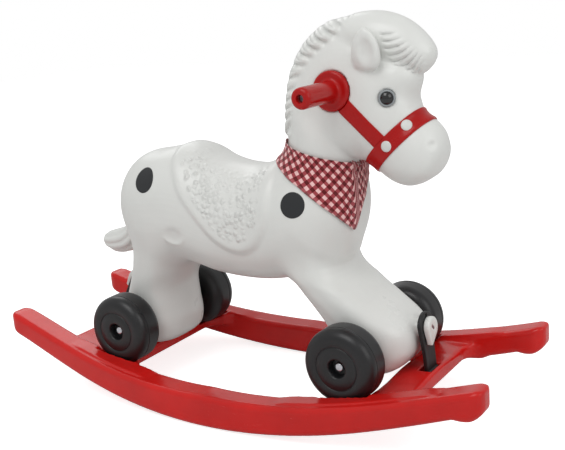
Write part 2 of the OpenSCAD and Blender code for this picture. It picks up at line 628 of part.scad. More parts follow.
module knot_form() {
    skin([for (i = [0 : 6]) let (a = -75 + i * 25) [for (p = bows(2, 16)) [14 * cos(a) * p[0] + 9, 11 * cos(a) * p[1], 12 * sin(a)]]]);
    skin([for (i = [0 : 5]) [for (p = bows(2.4, 16)) [(3 + i * 0.6) * p[0] + 11 + i, (7 + 2 * i) * p[1] - 4 - i, -56 + i * 10]]]);
}

// ---- spots ----
module spot(at) {
    for (s = [-1, 1]) intersection() {
        layer(seat_gap, seat_gap + spot_t);
        translate([at[0], 0, at[1]]) outward(s) cylinder(r = spot_d / 2, h = far, $fn = 32);
    }
}
module hip_spots() color(black) moulded() spot([-hip_spot_x, hip_spot_z]);
module shoulder_spots() color(black) moulded() spot([shoulder_spot_x, shoulder_spot_z]);

// ---- axles and wheels ----
module axle(x) color(steel) at_axle(x) rotate([90, 0, 0])
    cylinder(r = axle_d / 2, h = 2 * axle_half, center = true, $fn = 48);
module rear_axle() axle(-rear_axle_x);
module front_axle() axle(front_axle_x);
cap_h = 6;
cap_dome = 3;
module axle_caps() color(steel) for (x = AXLES, s = [-1, 1]) at_axle(x) outward(s) translate([0, 0, cap_seat]) difference() {
    rotate_extrude($fn = 48) polygon(concat([[0, 0], [cap_d / 2, 0]],
        [for (i = [0 : 8]) [cap_d / 2 * cos(i * 90 / 8), cap_h - cap_dome + cap_dome * sin(i * 90 / 8)]]));
    translate([0, 0, -1]) cylinder(r = axle_d / 2 + axle_play, h = axle_half - cap_seat + 1.2, $fn = 48);
}
module wheel_spacers() color(black) for (x = AXLES, s = [-1, 1]) at_axle(x) outward(s) difference() {
    translate([0, 0, wheel_in - spacer_t + seat_gap])
        cylinder(r = spacer_d / 2, h = spacer_t - 2 * seat_gap, $fn = 48);
    cylinder(r = axle_d / 2 + axle_play, h = far, $fn = 48);
}
ring_r = 0.57 * wheel_r;
groove = 1;
shoulder_k = 6;
module wheel(x, s) color(black) at_axle(x) outward(s) translate([0, 0, wheel_in]) rotate_extrude($fn = 96) difference() {
    polygon(concat(
        [[axle_d / 2 + axle_play, 0]],
        [for (i = [0 : shoulder_k]) let (a = -90 + i * 90 / shoulder_k)
            [wheel_r - shoulder_r + shoulder_r * cos(a), shoulder_r + shoulder_r * sin(a)]],
        [for (i = [0 : shoulder_k]) let (a = i * 90 / shoulder_k)
            [wheel_r - shoulder_r + shoulder_r * cos(a), wheel_w - shoulder_r + shoulder_r * sin(a)]],
        [[ring_r + groove, wheel_w], [ring_r + groove, wheel_w - groove], [ring_r - groove, wheel_w - groove],
            [ring_r - groove, wheel_w], [hub_recess_d / 2 + 2, wheel_w], [hub_recess_d / 2, wheel_w - 2],
            [hub_recess_d / 2, wheel_w - hub_recess_deep - seat_gap],
            [axle_d / 2 + axle_play, wheel_w - hub_recess_deep - seat_gap]]));
    polygon(concat(
        [[hub_d / 2, wheel_wall]],
        [for (i = [0 : shoulder_k]) let (a = -90 + i * 90 / shoulder_k, r = shoulder_r - wheel_wall)
            [wheel_r - shoulder_r + r * cos(a), shoulder_r + r * sin(a)]],
        [for (i = [0 : shoulder_k]) let (a = i * 90 / shoulder_k, r = shoulder_r - wheel_wall)
            [wheel_r - shoulder_r + r * cos(a), wheel_w - shoulder_r + r * sin(a)]],
        [[ring_r + groove, wheel_w - wheel_wall], [ring_r + groove, wheel_w - wheel_wall - groove],
            [ring_r - groove, wheel_w - wheel_wall - groove], [hub_recess_d / 2 + wheel_wall, wheel_w - wheel_wall - groove],
            [hub_recess_d / 2 + wheel_wall, wheel_w - hub_recess_deep - wheel_wall],
            [hub_d / 2, wheel_w - hub_recess_deep - wheel_wall]]));
}
module wheel_rear_right() wheel(-rear_axle_x, -1);
module wheel_rear_left() wheel(-rear_axle_x, 1);
module wheel_front_right() wheel(front_axle_x, -1);
module wheel_front_left() wheel(front_axle_x, 1);

// ---- straps, pins and turn latches ----
slot_l = 13;
slot_w = 6;
head_taper = 34;
module strap(t) color(black) difference() {
    moulded() {
        on_pad(t) translate([0, 0, seat_gap]) linear_extrude(strap_t) polygon(concat(
            [for (a = [110 : 10 : 250]) strap_head_w / 2 * [cos(a), sin(a)]],
            [[head_taper, -strap_foot_w / 2], [strap_l(t), -strap_foot_w / 2],
                [strap_l(t), strap_foot_w / 2], [head_taper, strap_foot_w / 2]]));
        translate([pin_x(t), 0, pin_z(t)]) rotate([90, 0, 0]) cylinder(r = eye_r, h = strap_foot_w + 1, center = true, $fn = 32);
    }
    translate([pin_x(t), 0, pin_z(t)]) rotate([90, 0, 0])
        cylinder(r = strap_pin_d / 2 + axle_play, h = far, center = true, $fn = 32);
    on_pad(t) {
        cylinder(r = neck_r + seat_gap, h = 40, $fn = 40);
        translate([-neck_r - slot_l, -slot_w / 2, -1]) cube([slot_l + neck_r, slot_w, strap_t + 4]);
    }
}
module strap_front() strap(FRONT_STRAP);
module strap_rear() strap(REAR_STRAP);
module strap_pins() color(steel) for (t = STRAPS) translate([pin_x(t), 0, pin_z(t)]) rotate([90, 0, 0])
    cylinder(r = strap_pin_d / 2, h = 2 * (pocket_half + pin_hold) - 0.6, center = true, $fn = 32);
latch_floor = strap_t + 2 * seat_gap;
latch_tip_r = 3;
module latch(t) color(white) on_pad(t) rotate([0, 0, -t[0] * latch_turn]) difference() {
    union() {
        translate([0, 0, latch_floor]) linear_extrude(latch_t) polygon(concat(
            [for (a = [70 : 10 : 290]) latch_d / 2 * [cos(a), sin(a)]],
            [for (a = [-70 : 20 : 70]) [latch_l - latch_tip_r, 0] + latch_tip_r * [cos(a), sin(a)]]));
        translate([0, 0, seat_gap]) cylinder(r = neck_r, h = latch_floor, $fn = 40);
    }
    cylinder(r = latch_screw_d / 2 + axle_play, h = 60, $fn = 24);
    translate([0, 0, latch_floor + latch_t - 3]) cylinder(r = 4.8, h = 20, $fn = 32);
}
module latch_front() latch(FRONT_STRAP);
module latch_rear() latch(REAR_STRAP);
module latch_screws() color(steel) for (t = STRAPS) on_pad(t) difference() {
    union() {
        translate([0, 0, -pad_deep + 3]) cylinder(r = latch_screw_d / 2, h = pad_deep + latch_floor + latch_t - 3 - 2, $fn = 24);
        translate([0, 0, latch_floor + latch_t - 3 + axle_play]) cylinder(r = 4.5, h = 2, $fn = 32);
    }
    translate([-0.6, -far, latch_floor + latch_t - 3 + 1.2]) cube([1.2, 2 * far, 4]);
}

rocker_base();
horse_body();
handle_grip_right();
handle_grip_left();
handle_tie_rod();
handle_screws();
eye_rings();
eye_domes();
noseband();
cheek_strap_right();
cheek_strap_left();
bridle_rivets();
bandana();
bandana_knot();
hip_spots();
shoulder_spots();
rear_axle();
front_axle();
axle_caps();
wheel_spacers();
wheel_rear_right();
wheel_rear_left();
wheel_front_right();
wheel_front_left();
strap_front();
strap_rear();
strap_pins();
latch_front();
latch_rear();
latch_screws();
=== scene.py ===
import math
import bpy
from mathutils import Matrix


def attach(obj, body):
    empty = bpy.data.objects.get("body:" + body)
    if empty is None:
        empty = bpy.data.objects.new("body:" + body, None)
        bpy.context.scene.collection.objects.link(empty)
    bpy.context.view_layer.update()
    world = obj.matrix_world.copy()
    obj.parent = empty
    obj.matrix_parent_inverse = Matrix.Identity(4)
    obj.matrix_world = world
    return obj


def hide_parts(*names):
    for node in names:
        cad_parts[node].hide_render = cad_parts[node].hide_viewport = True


bl_info = {
    "name": "Rocking Horse",
    "version": (1, 0, 0),
    "blender": (4, 5, 0),
    "location": "3D View > Sidebar > Rocking Horse",
    "description": "A moulded horse on wheels, strapped to its rocker base",
    "category": "Add Mesh",
}

import bmesh
import bpy
import numpy as np
import openvdb as vdb
from bpy.props import FloatProperty, FloatVectorProperty, IntProperty, PointerProperty
from mathutils import Matrix, Vector
from mathutils.bvhtree import BVHTree

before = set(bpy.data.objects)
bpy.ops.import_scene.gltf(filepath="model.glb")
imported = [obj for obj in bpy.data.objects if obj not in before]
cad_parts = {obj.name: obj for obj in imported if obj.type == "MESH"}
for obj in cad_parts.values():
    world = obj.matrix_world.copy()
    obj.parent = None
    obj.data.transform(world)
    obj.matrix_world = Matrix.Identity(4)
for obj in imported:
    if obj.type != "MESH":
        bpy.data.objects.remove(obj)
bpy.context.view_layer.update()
MM = 0.001
MADE = {}  # what later steps need: finishes, the horse's skin and its field of distances

# ---------------------------------------------------------------- sizes, in millimetres
AXLE_H, REAR_X, FRONT_X = 103.0, -192.0, 204.0
WHEEL_R, WHEEL_W, WHEEL_IN = 54.5, 50.0, 75.0
HANDLE_X, HANDLE_Z, GRIP_SEAT, GRIP_OUT = 180.0, 468.0, 46.0, 132.0
EYE, EYE_TURN = (257.0, 40.56, 457.0), 28
TW, NW, HW, LW = 86.0, 57.0, 52.0, 65.0  # half widths of the trunk, neck, head and legs
FX, RX, AZ = FRONT_X, REAR_X, AXLE_H
FOOT_FRONT, FOOT_BACK = FX + 67, RX - 52
# side, pad x, pad z, lean, pin z
STRAPS = {
    "front": (1, FOOT_FRONT + 6, AZ + 28, 5.0, 65.0),
    "rear": (-1, FOOT_BACK + 4, AZ + 48, 35.0, 64.0)}

# ribs: back x, back z, front x, front z, half width, squareness
TRUNK = [
    (-224, 308, -224, 274, .2 * TW, 2), (-217, 336, -217, 244, .56 * TW, 2),
    (-202, 358, -202, 222, .8 * TW, 2.1), (-178, 372, -178, 206, .94 * TW, 2.2),
    (-146, 377, -146, 200, TW, 2.3), (-112, 382, -112, 200, TW, 2.3), (-80, 379, -80, 194, .96 * TW, 2.3),
    (-48, 364, -48, 186, .93 * TW, 2.3), (-10, 354, -10, 182, .91 * TW, 2.3),
    (30, 352, 30, 182, .92 * TW, 2.3), (64, 362, 64, 186, .95 * TW, 2.3),
    (98, 374, 98, 194, .98 * TW, 2.2), (130, 376, 130, 208, .93 * TW, 2.1),
    (157, 366, 157, 230, .78 * TW, 2), (176, 344, 176, 256, .54 * TW, 2),
    (184, 318, 184, 284, .18 * TW, 2)]
NECK = [
    (66, 332, 166, 232, 1.12 * NW, 2.1), (80, 374, 184, 286, 1.1 * NW, 2.1), (92, 414, 189, 332, NW, 2.1),
    (97, 453, 189, 364, NW, 2.1), (106, 495, 192, 369, HW, 2.1), (132, 531, 197, 368, HW, 2.1),
    (175, 551, 201, 367, HW, 2.1), (222, 543, 205, 366, .97 * HW, 2.1),
    (256, 508, 208, 365, .93 * HW, 2.1), (276, 470, 212, 363, .87 * HW, 2.1),
    (288, 435, 219, 359, .82 * HW, 2.1), (305, 422, 234, 347, .85 * HW, 2.1),
    (317, 407, 250, 338, .83 * HW, 2.1), (322, 387, 269, 334, .73 * HW, 2.1),
    (319, 370, 287, 338, .55 * HW, 2), (311, 354, 301, 346, .2 * HW, 2)]
FRONT_LEGS = [
    (FX - 42, AZ - 33, FX + 40, AZ - 33, .84 * LW, 2.8),
    (FX - 52, AZ - 22, FX + 54, AZ - 22, .96 * LW, 3), (FX - 55, AZ, FOOT_FRONT, AZ, LW, 2.8),
    (FX - 68, AZ + 30, FOOT_FRONT - 3, AZ + 31, 1.01 * LW, 2.7),
    (FX - 88, AZ + 58, FX + 32, AZ + 57, 1.03 * LW, 2.6),
    (FX - 106, AZ + 84, FX - 3, AZ + 80, 1.05 * LW, 2.7),
    (FX - 127, AZ + 120, FX - 40, AZ + 116, 1.06 * LW, 2.7),
    (FX - 136, AZ + 214, FX - 36, AZ + 214, .86 * LW, 2.6)]
REAR_LEGS = [
    (RX - 36, AZ - 41, RX + 36, AZ - 41, .8 * LW, 2.8), (RX - 47, AZ - 30, RX + 46, AZ - 30, .94 * LW, 3),
    (FOOT_BACK, AZ - 8, RX + 50, AZ - 8, .99 * LW, 3),
    (FOOT_BACK + 4, AZ + 20, RX + 46, AZ + 20, 1.01 * LW, 2.9),
    (RX - 34, AZ + 54, RX + 44, AZ + 52, 1.02 * LW, 2.8),
    (RX - 22, AZ + 88, RX + 60, AZ + 84, 1.05 * LW, 2.8),
    (RX - 15, AZ + 130, RX + 86, AZ + 130, 1.1 * LW, 2.8),
    (RX - 8, AZ + 204, RX + 102, AZ + 204, .95 * LW, 2.6)]
FORELOCK = [
    (156, 538, 186, 512, .3 * HW, 2), (176, 557, 201, 506, .56 * HW, 2),
    (200, 567, 218, 502, .67 * HW, 2), (236, 567.5, 246, 494, .68 * HW, 2),
    (268, 557.5, 271, 487, .6 * HW, 2), (292, 540, 291, 484, .48 * HW, 2),
    (307, 522, 303, 492, .3 * HW, 2), (311, 510, 309, 501, .1 * HW, 2)]
LOCK_PITCH = 9.2  # from one lock of the forelock to the next
TAIL = [
    (-307, 220, -305, 211, 7, 2), (-300, 228, -296, 201, 18, 2), (-282, 234, -276, 194, 22, 2),
    (-262, 240, -246, 200, 22, 2), (-248, 252, -220, 226, 20, 2), (-243, 278, -208, 268, 18, 2),
    (-239, 312, -206, 302, 17, 2), (-225, 344, -196, 324, 15, 2), (-200, 354, -180, 322, 11, 2)]
# half as long, height, half as wide
EAR = [
    (10, -6, 3), (17, -1, 7), (20.5, 7, 9), (21, 17, 10), (19, 29, 9), (14.5, 38, 7), (9, 45, 5),
    (3, 50, 2.5)]
MANE_OUTLINE = [
    (40, 404), (40, 582), (232, 582), (226, 562), (198, 552), (172, 537), (148, 519), (129, 500),
    (113, 474), (109, 446), (104, 416), (97, 404)]
SADDLE_OUTLINE = [
    (-116, 412), (-105, 378), (-88, 344), (-73, 316), (-43, 279), (-20, 255), (4, 241), (29, 237),
    (53, 246), (73, 268), (84, 296), (85, 330), (84, 372), (84, 412)]
BAND_TOP, BAND_LOW = np.array((294.5, 431.0)), np.array((218.5, 360.5))


# ---------------------------------------------------------------- outlines, lofts and distance fields
def through(rows, steps, closed=False):
    """A smooth curve through rows of numbers, with steps between each two."""
    r = np.array(rows, float)
    n = len(r)
    out = []
    for i in range(n if closed else n - 1):
        pick = (lambda k: r[k % n]) if closed else (lambda k: r[min(max(k, 0), n - 1)])
        a, b, c, d = pick(i - 1), pick(i), pick(i + 1), pick(i + 2)
        for k in range(steps):
            t = k / steps
            out.append(.5 * (2 * b + (c - a) * t + (2 * a - 5 * b + 4 * c - d) * t * t
                             + (3 * b - a - 3 * c + d) * t ** 3))
    if not closed:
        out.append(r[-1])
    return np.array(out)


def bows(n, count):
    """A round of count points, a circle at n = 2 and squarer above it, and the angle of each."""
    t = (np.arange(count) + .5) * 2 * np.pi / count
    c, s = np.cos(t), np.sin(t)
    return np.sign(c) * np.abs(c) ** (2 / n), np.sign(s) * np.abs(s) ** (2 / n), t


def loft(rings):
    """A closed skin over rings of points, as points, quads and triangles."""
    n, m = len(rings), len(rings[0])
    points = np.concatenate(list(rings) + [rings[0].mean(0)[None], rings[-1].mean(0)[None]])
    k, i = np.meshgrid(np.arange(n - 1), np.arange(m), indexing="ij")
    j = (i + 1) % m
    quads = np.stack([k * m + i, k * m + j, (k + 1) * m + j, (k + 1) * m + i], -1).reshape(-1, 4)
    a = np.arange(m)
    b = (a + 1) % m
    first = np.stack([b, a, np.full(m, n * m)], 1)
    last = np.stack([(n - 1) * m + a, (n - 1) * m + b, np.full(m, n * m + 1)], 1)
    return points, quads, np.concatenate([first, last])


def ribbed(ribs, steps=6, count=72, strands=None):
    """A form lofted over ribs that stand across the y axis, with strands along it if asked."""
    rows = through(ribs, steps)
    rings = []
    for j, r in enumerate(rows):
        x, y, t = bows(r[5], count)
        g = 1.0 if strands is None else strands(t, j / (len(rows) - 1))
        cx, cz, ax, az = (r[0] + r[2]) / 2, (r[1] + r[3]) / 2, (r[2] - r[0]) / 2, (r[3] - r[1]) / 2
        rings.append(np.stack([cx + ax * x * g, r[4] * y * g, cz + az * x * g], 1))
    return loft(rings)


class Field:
    """A box of signed distances, in millimetres, negative inside. They are true to band voxels away."""

    def __init__(self, lo, hi, step, band):
        self.step, self.band = step, band
        self.first = np.floor(np.array(lo) / step).astype(int)
        self.shape = tuple(np.ceil(np.array(hi) / step).astype(int) - self.first + 1)
        self.axis = [(self.first[a] + np.arange(self.shape[a])) * step for a in range(3)]
        self.x = self.axis[0][:, None, None].astype(np.float32)
        self.y = self.axis[1][None, :, None].astype(np.float32)
        self.z = self.axis[2][None, None, :].astype(np.float32)

    def of(self, shape):
        """The distances from a closed skin."""
        points, quads, tris = shape
        way = vdb.createLinearTransform(voxelSize=self.step)
        grid = vdb.FloatGrid.createLevelSetFromPolygons(
            points.astype(np.float32), triangles=tris.astype(np.uint32), quads=quads.astype(np.uint32),
            transform=way, halfWidth=self.band)
        out = np.empty(self.shape, np.float32)
        grid.copyToArray(out, ijk=tuple(int(v) for v in self.first))
        return out

    def mesh(self, f):
        """Points and quads where f is 0."""
        grid = vdb.FloatGrid(4 * self.step)
        grid.transform = vdb.createLinearTransform(voxelSize=self.step)
        grid.copyFromArray(np.clip(f, -4 * self.step, 4 * self.step), ijk=tuple(int(v) for v in self.first))
        points, quads = grid.convertToQuads(isovalue=0)
        return np.array(points, float), np.array(quads, int)

    def spots(self):
        """Every voxel's place, as rows."""
        return np.stack([a.ravel() for a in np.meshgrid(*self.axis, indexing="ij")], 1)

    def read(self, f, points):
        """Values of f at points, between the voxels."""
        q = points / self.step - self.first
        i = np.clip(np.floor(q).astype(int), 0, np.array(self.shape) - 2)
        t = q - i
        out = 0
        for corner in np.ndindex(2, 2, 2):
            w = np.prod([t[:, a] if up else 1 - t[:, a] for a, up in enumerate(corner)], axis=0)
            out = out + w * f[tuple((i + corner).T)]
        return out

    def slope(self, f, points):
        """The way in which f grows fastest at points, as unit vectors."""
        h = .6 * self.step
        g = np.stack([self.read(f, points + h * e) - self.read(f, points - h * e) for e in np.eye(3)], 1)
        return g / np.maximum(np.linalg.norm(g, axis=1, keepdims=True), 1e-9)


def join(a, b, k):
    """Two forms in one, blended softly where they come within k."""
    h = np.maximum(k - np.abs(a - b), 0) / k
    return np.minimum(a, b) - h * h * k / 4


def cut(a, b, k):
    """What two forms share, with edges softened by k."""
    return -join(-a, -b, k)


def ramp(value, start, over):
    """0 up to start, 1 from start + over, straight between them."""
    return np.clip((value - start) / over, 0, 1)


def fall(value, end, over):
    """1 up to end - over, 0 from end, straight between them."""
    return np.clip((end - value) / over, 0, 1)


def from_point(g, c, n):
    """For a whole field: how far along the way n from the point c, and how far off that line."""
    x, y, z = g.x - c[0], g.y - c[1], g.z - c[2]
    along = x * n[0] + y * n[1] + z * n[2]
    return along, np.sqrt(np.maximum(x ** 2 + y ** 2 + z ** 2 - along ** 2, 0))


def ball(g, c, radii):
    """How far every voxel is from c or its mirror image; 1 is the surface of an egg with those radii."""
    x, y, z = (g.x - c[0]) / radii[0], (np.abs(g.y) - c[1]) / radii[1], (g.z - c[2]) / radii[2]
    return np.sqrt(x ** 2 + y ** 2 + z ** 2)


def flat_distance(outline, u, v):
    """Signed distance in the plane to a closed outline, over the grid u by v."""
    p = np.array(outline, float)
    q = np.roll(p, -1, 0)
    x, y = np.meshgrid(u, v, indexing="ij")
    best = np.full(x.shape, 1e9)
    inside = np.zeros(x.shape, bool)
    for (ax, ay), (bx, by) in zip(p, q):
        ex, ey = bx - ax, by - ay
        t = np.clip(((x - ax) * ex + (y - ay) * ey) / max(ex * ex + ey * ey, 1e-9), 0, 1)
        best = np.minimum(best, np.hypot(x - ax - t * ex, y - ay - t * ey))
        if ay != by:
            inside ^= ((ay > y) != (by > y)) & (x < (bx - ax) * (y - ay) / (by - ay) + ax)
    return np.where(inside, -best, best).astype(np.float32)


# ---------------------------------------------------------------- meshes
def turned(axis, degrees):
    return Matrix.Rotation(math.radians(degrees), 4, axis)


def outward(s):
    """Local Z to the left at s = 1, to the right at s = -1."""
    return turned("X", -90 * s)


def on_pad(key):
    """The place where a strap's head lies on the horse, with local Z away from it and X down the strap."""
    s, x, z, lean, _ = STRAPS[key]
    return Matrix.Translation((x, 0, z)) @ turned("Z", 180 if s < 0 else 0) @ turned("Y", 90 - lean)


def finished(name, mesh, finish, body, nodes, smooth_angle=None):
    """A piece with its finish, in place of its nodes, on the body that carries it."""
    ob = bpy.data.objects.new(name, mesh)
    bpy.context.scene.collection.objects.link(ob)
    mesh.materials.clear()
    mesh.materials.append(MADE["finish"][finish])
    mesh.polygons.foreach_set("use_smooth", [True] * len(mesh.polygons))
    if smooth_angle is not None:
        mesh.set_sharp_from_angle(angle=math.radians(smooth_angle))
    mesh.update()
    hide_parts(*nodes)
    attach(ob, body)
    return ob


def mesh_of(name, points, faces):
    """A mesh from points in millimetres."""
    mesh = bpy.data.meshes.new(name)
    corners = [tuple(p) for p in np.array(points, float) * MM]
    mesh.from_pydata(corners, [], [tuple(int(i) for i in f) for f in faces])
    mesh.validate()
    return mesh


def quick_mesh(name, points, quads):
    """A mesh straight from arrays of points in millimetres and quads, pointing outwards."""
    p = points * MM
    a, b, c, d = (p[quads[:, i]] for i in range(4))
    volume = sum(np.einsum("ij,ij->i", np.cross(u - a, v - a), a) for u, v in ((b, c), (c, d)))
    if volume.sum() < 0:
        quads = quads[:, ::-1]
    mesh = bpy.data.meshes.new(name)
    mesh.vertices.add(len(p))
    mesh.vertices.foreach_set("co", p.astype(np.float32).ravel())
    mesh.loops.add(quads.size)
    mesh.loops.foreach_set("vertex_index", quads.astype(np.int32).ravel())
    mesh.polygons.add(len(quads))
    mesh.polygons.foreach_set("loop_start", np.arange(0, quads.size, 4, dtype=np.int32))
    mesh.update(calc_edges=True)
    mesh.validate()
    return mesh


def keep_values(mesh, label, values):
    mesh.attributes.new(label, "FLOAT", "POINT").data.foreach_set("value", values.astype(np.float32))


def out_facing(mesh):
    """The same mesh with its doubles joined and its faces turned outwards."""
    bm = bmesh.new()
    bm.from_mesh(mesh)
    bmesh.ops.remove_doubles(bm, verts=bm.verts, dist=1e-6)
    bmesh.ops.recalc_face_normals(bm, faces=bm.faces)
    bm.to_mesh(mesh)
    bm.free()
    return mesh


def lathe(name, profile, place, segments=96):
    """A profile of (radius, height) points in millimetres turned round local Z and then placed."""
    points, faces, rows = [], [], []
    for r, h in profile:
        if r < 1e-6:
            rows.append([len(points)] * segments)
            points.append(place @ Vector((0, 0, h)))
        else:
            rows.append(list(range(len(points), len(points) + segments)))
            for i in range(segments):
                a = 2 * math.pi * i / segments
                points.append(place @ Vector((r * math.cos(a), r * math.sin(a), h)))
    closed = profile[0][0] > 1e-6 and profile[-1][0] > 1e-6
    pairs = list(zip(rows, rows[1:])) + ([(rows[-1], rows[0])] if closed else [])
    for a, b in pairs:
        for i in range(segments):
            j = (i + 1) % segments
            face = []
            for v in (a[i], a[j], b[j], b[i]):
                if v not in face:
                    face.append(v)
            if len(face) > 2:
                faces.append(face)
    return out_facing(mesh_of(name, points, faces))


def arc(cx, cy, r, a0, a1, n):
    """Points in n steps round (cx, cy), from a0 to a1 degrees."""
    turns = [math.radians(a0 + (a1 - a0) * i / n) for i in range(n + 1)]
    return [(cx + r * math.cos(t), cy + r * math.sin(t)) for t in turns]


def joined(name, meshes):
    """One mesh of several."""
    bm = bmesh.new()
    for m in meshes:
        bm.from_mesh(m)
    mesh = bpy.data.meshes.new(name)
    bm.to_mesh(mesh)
    bm.free()
    return mesh


def plate(name, outlines, thick, edge, place):
    """A flat plate with rounded edges and holes, standing on local Z = 0 and then placed."""
    curve = bpy.data.curves.new(name, "CURVE")
    curve.dimensions, curve.fill_mode = "2D", "BOTH"
    curve.extrude, curve.bevel_depth, curve.bevel_resolution = (thick / 2 - edge) * MM, edge * MM, 2
    curve.offset = -edge * MM
    for outline in outlines:
        spline = curve.splines.new("POLY")
        spline.points.add(len(outline) - 1)
        for point, (x, y) in zip(spline.points, outline):
            point.co = (x * MM, y * MM, 0, 1)
        spline.use_cyclic_u = True
    ob = bpy.data.objects.new(name, curve)
    bpy.context.scene.collection.objects.link(ob)
    mesh = bpy.data.meshes.new_from_object(ob.evaluated_get(bpy.context.evaluated_depsgraph_get()))
    bpy.data.objects.remove(ob)
    p = place.copy()
    p.translation *= MM
    mesh.transform(p @ Matrix.Translation((0, 0, thick / 2 * MM)))
    return out_facing(mesh)


def strip(name, points, normals, inner, outer, edge, closed, tidy=True):
    """A thick strip over a grid of points: rows along it, columns across. Its outer edges are rounded."""
    n, m, _ = points.shape
    across = np.linalg.norm(points - points[:, :1], axis=2)
    wide = across[:, -1:]
    near = np.minimum(across, wide - across)
    drop = np.where(near < edge, edge - np.sqrt(np.maximum(edge ** 2 - (edge - near) ** 2, 0)), 0)
    top = points + normals * (outer - drop)[..., None]
    low = points + normals * inner
    grid = np.concatenate([top, low[:, ::-1]], 1)
    k = 2 * m
    faces = []
    for i in range(n if closed else n - 1):
        a, b = i * k, ((i + 1) % n) * k
        for j in range(k):
            faces.append((a + j, b + j, b + (j + 1) % k, a + (j + 1) % k))
    if not closed:
        faces += [tuple(range(k)), tuple((n - 1) * k + j for j in reversed(range(k)))]
    mesh = mesh_of(name, grid.reshape(-1, 3), faces)
    return out_facing(mesh) if tidy else mesh


def landed(origin, way):
    """Where a ray lands on the horse's skin, in millimetres, and the skin's normal there."""
    hit = MADE["skin"].ray_cast(Vector(origin) * MM, Vector(way).normalized())[0]
    if hit is None:
        raise RuntimeError(f"nothing to rest on from {tuple(origin)}")
    normal = MADE["horse_field"].slope(MADE["horse_values"], np.array([hit]) / MM)[0]
    return np.array(hit) / MM, normal


# ---------------------------------------------------------------- shader groups and finishes
def group(name, inputs, outputs):
    """A shader group whose inputs and outputs are all plain numbers."""
    tree = bpy.data.node_groups.new(name, "ShaderNodeTree")
    for label, value in inputs.items():
        socket = tree.interface.new_socket(label, in_out="INPUT", socket_type="NodeSocketFloat")
        socket.default_value = value
    for label in outputs:
        tree.interface.new_socket(label, in_out="OUTPUT", socket_type="NodeSocketFloat")
    return tree, tree.nodes.new("NodeGroupInput").outputs, tree.nodes.new("NodeGroupOutput").inputs


def put(tree, kind, values=None, **settings):
    """A new node with its settings, whose inputs take a value or a link from another node's output."""
    node = tree.nodes.new(kind)
    for key, value in settings.items():
        setattr(node, key, value)
    for key, value in (values or {}).items():
        socket = node.inputs[key]
        if isinstance(value, bpy.types.NodeSocket):
            tree.links.new(value, socket)
        else:
            socket.default_value = value
    return node


def calc(tree, operation, *terms):
    return put(tree, "ShaderNodeMath", dict(enumerate(terms)), operation=operation).outputs[0]


def places(tree):
    """Each piece's own places, in metres."""
    return put(tree, "ShaderNodeTexCoord").outputs["Object"]


def stored(tree, name):
    """Values that the mesh carries."""
    return put(tree, "ShaderNodeAttribute", attribute_name=name).outputs["Fac"]


def noise(tree, at, scale, detail, output="Fac", **more):
    values = {"Vector": at, "Scale": scale, "Detail": detail, **more}
    return put(tree, "ShaderNodeTexNoise", values).outputs[output]


def stretched(tree, at, scale, turn=(0, 0, 0)):
    return put(tree, "ShaderNodeMapping", {"Vector": at, "Rotation": turn, "Scale": scale}).outputs[0]


def remap(tree, value, low, high, to_low=0.0, to_high=1.0):
    return put(tree, "ShaderNodeMapRange", {"Value": value, "From Min": low, "From Max": high,
                                            "To Min": to_low, "To Max": to_high}).outputs[0]


def blend(tree, factor, a, b):
    """Colour a where factor is 0 and colour b where it is 1."""
    return put(tree, "ShaderNodeMix", {"Factor": factor, "A": a, "B": b}, data_type="RGBA").outputs["Result"]


def linear(c, share=1.0):
    """A screen colour, or a share of it, as linear light with full alpha."""
    c = [share * v for v in c]
    return tuple(v / 12.92 if v <= .04045 else ((v + .055) / 1.055) ** 2.4 for v in c) + (1.0,)


def moulded_skin_group():
    """Faint ripples and fine grain of moulded plastic."""
    tree, given, out = group("Moulded Skin", {"Ripple": 22.0, "Grain": 900.0}, ("Height", "Patches"))
    at = places(tree)
    ripple, grain = noise(tree, at, given["Ripple"], 2.0), noise(tree, at, given["Grain"], 1.0)
    tree.links.new(calc(tree, "MULTIPLY_ADD", grain, .12, ripple), out["Height"])
    tree.links.new(noise(tree, at, 9.0, 5.0, Roughness=.62), out["Patches"])
    return tree


def scuffs_group():
    """Fine scratches in two directions, thicker low down where the toy gets kicked."""
    tree, given, out = group("Scuffs", {"Amount": .5, "Reach": .12}, ("Mask",))
    at = places(tree)
    ways = (((30, 900, 260), (.3, .2, .5)), ((900, 40, 300), (.9, -.4, 1.9)))
    lines = [remap(tree, noise(tree, stretched(tree, at, scale, turn), 1.0, 2.0), .66, .74)
             for scale, turn in ways]
    where = remap(tree, noise(tree, at, 14.0, 3.0), .48, .66)
    height = put(tree, "ShaderNodeSeparateXYZ", {"Vector": at}).outputs["Z"]
    low = remap(tree, height, 0.0, given["Reach"], 1.0, .35)
    found = calc(tree, "MULTIPLY", calc(tree, "MAXIMUM", *lines), where)
    tree.links.new(calc(tree, "MULTIPLY", found, calc(tree, "MULTIPLY", low, given["Amount"])), out["Mask"])
    return tree


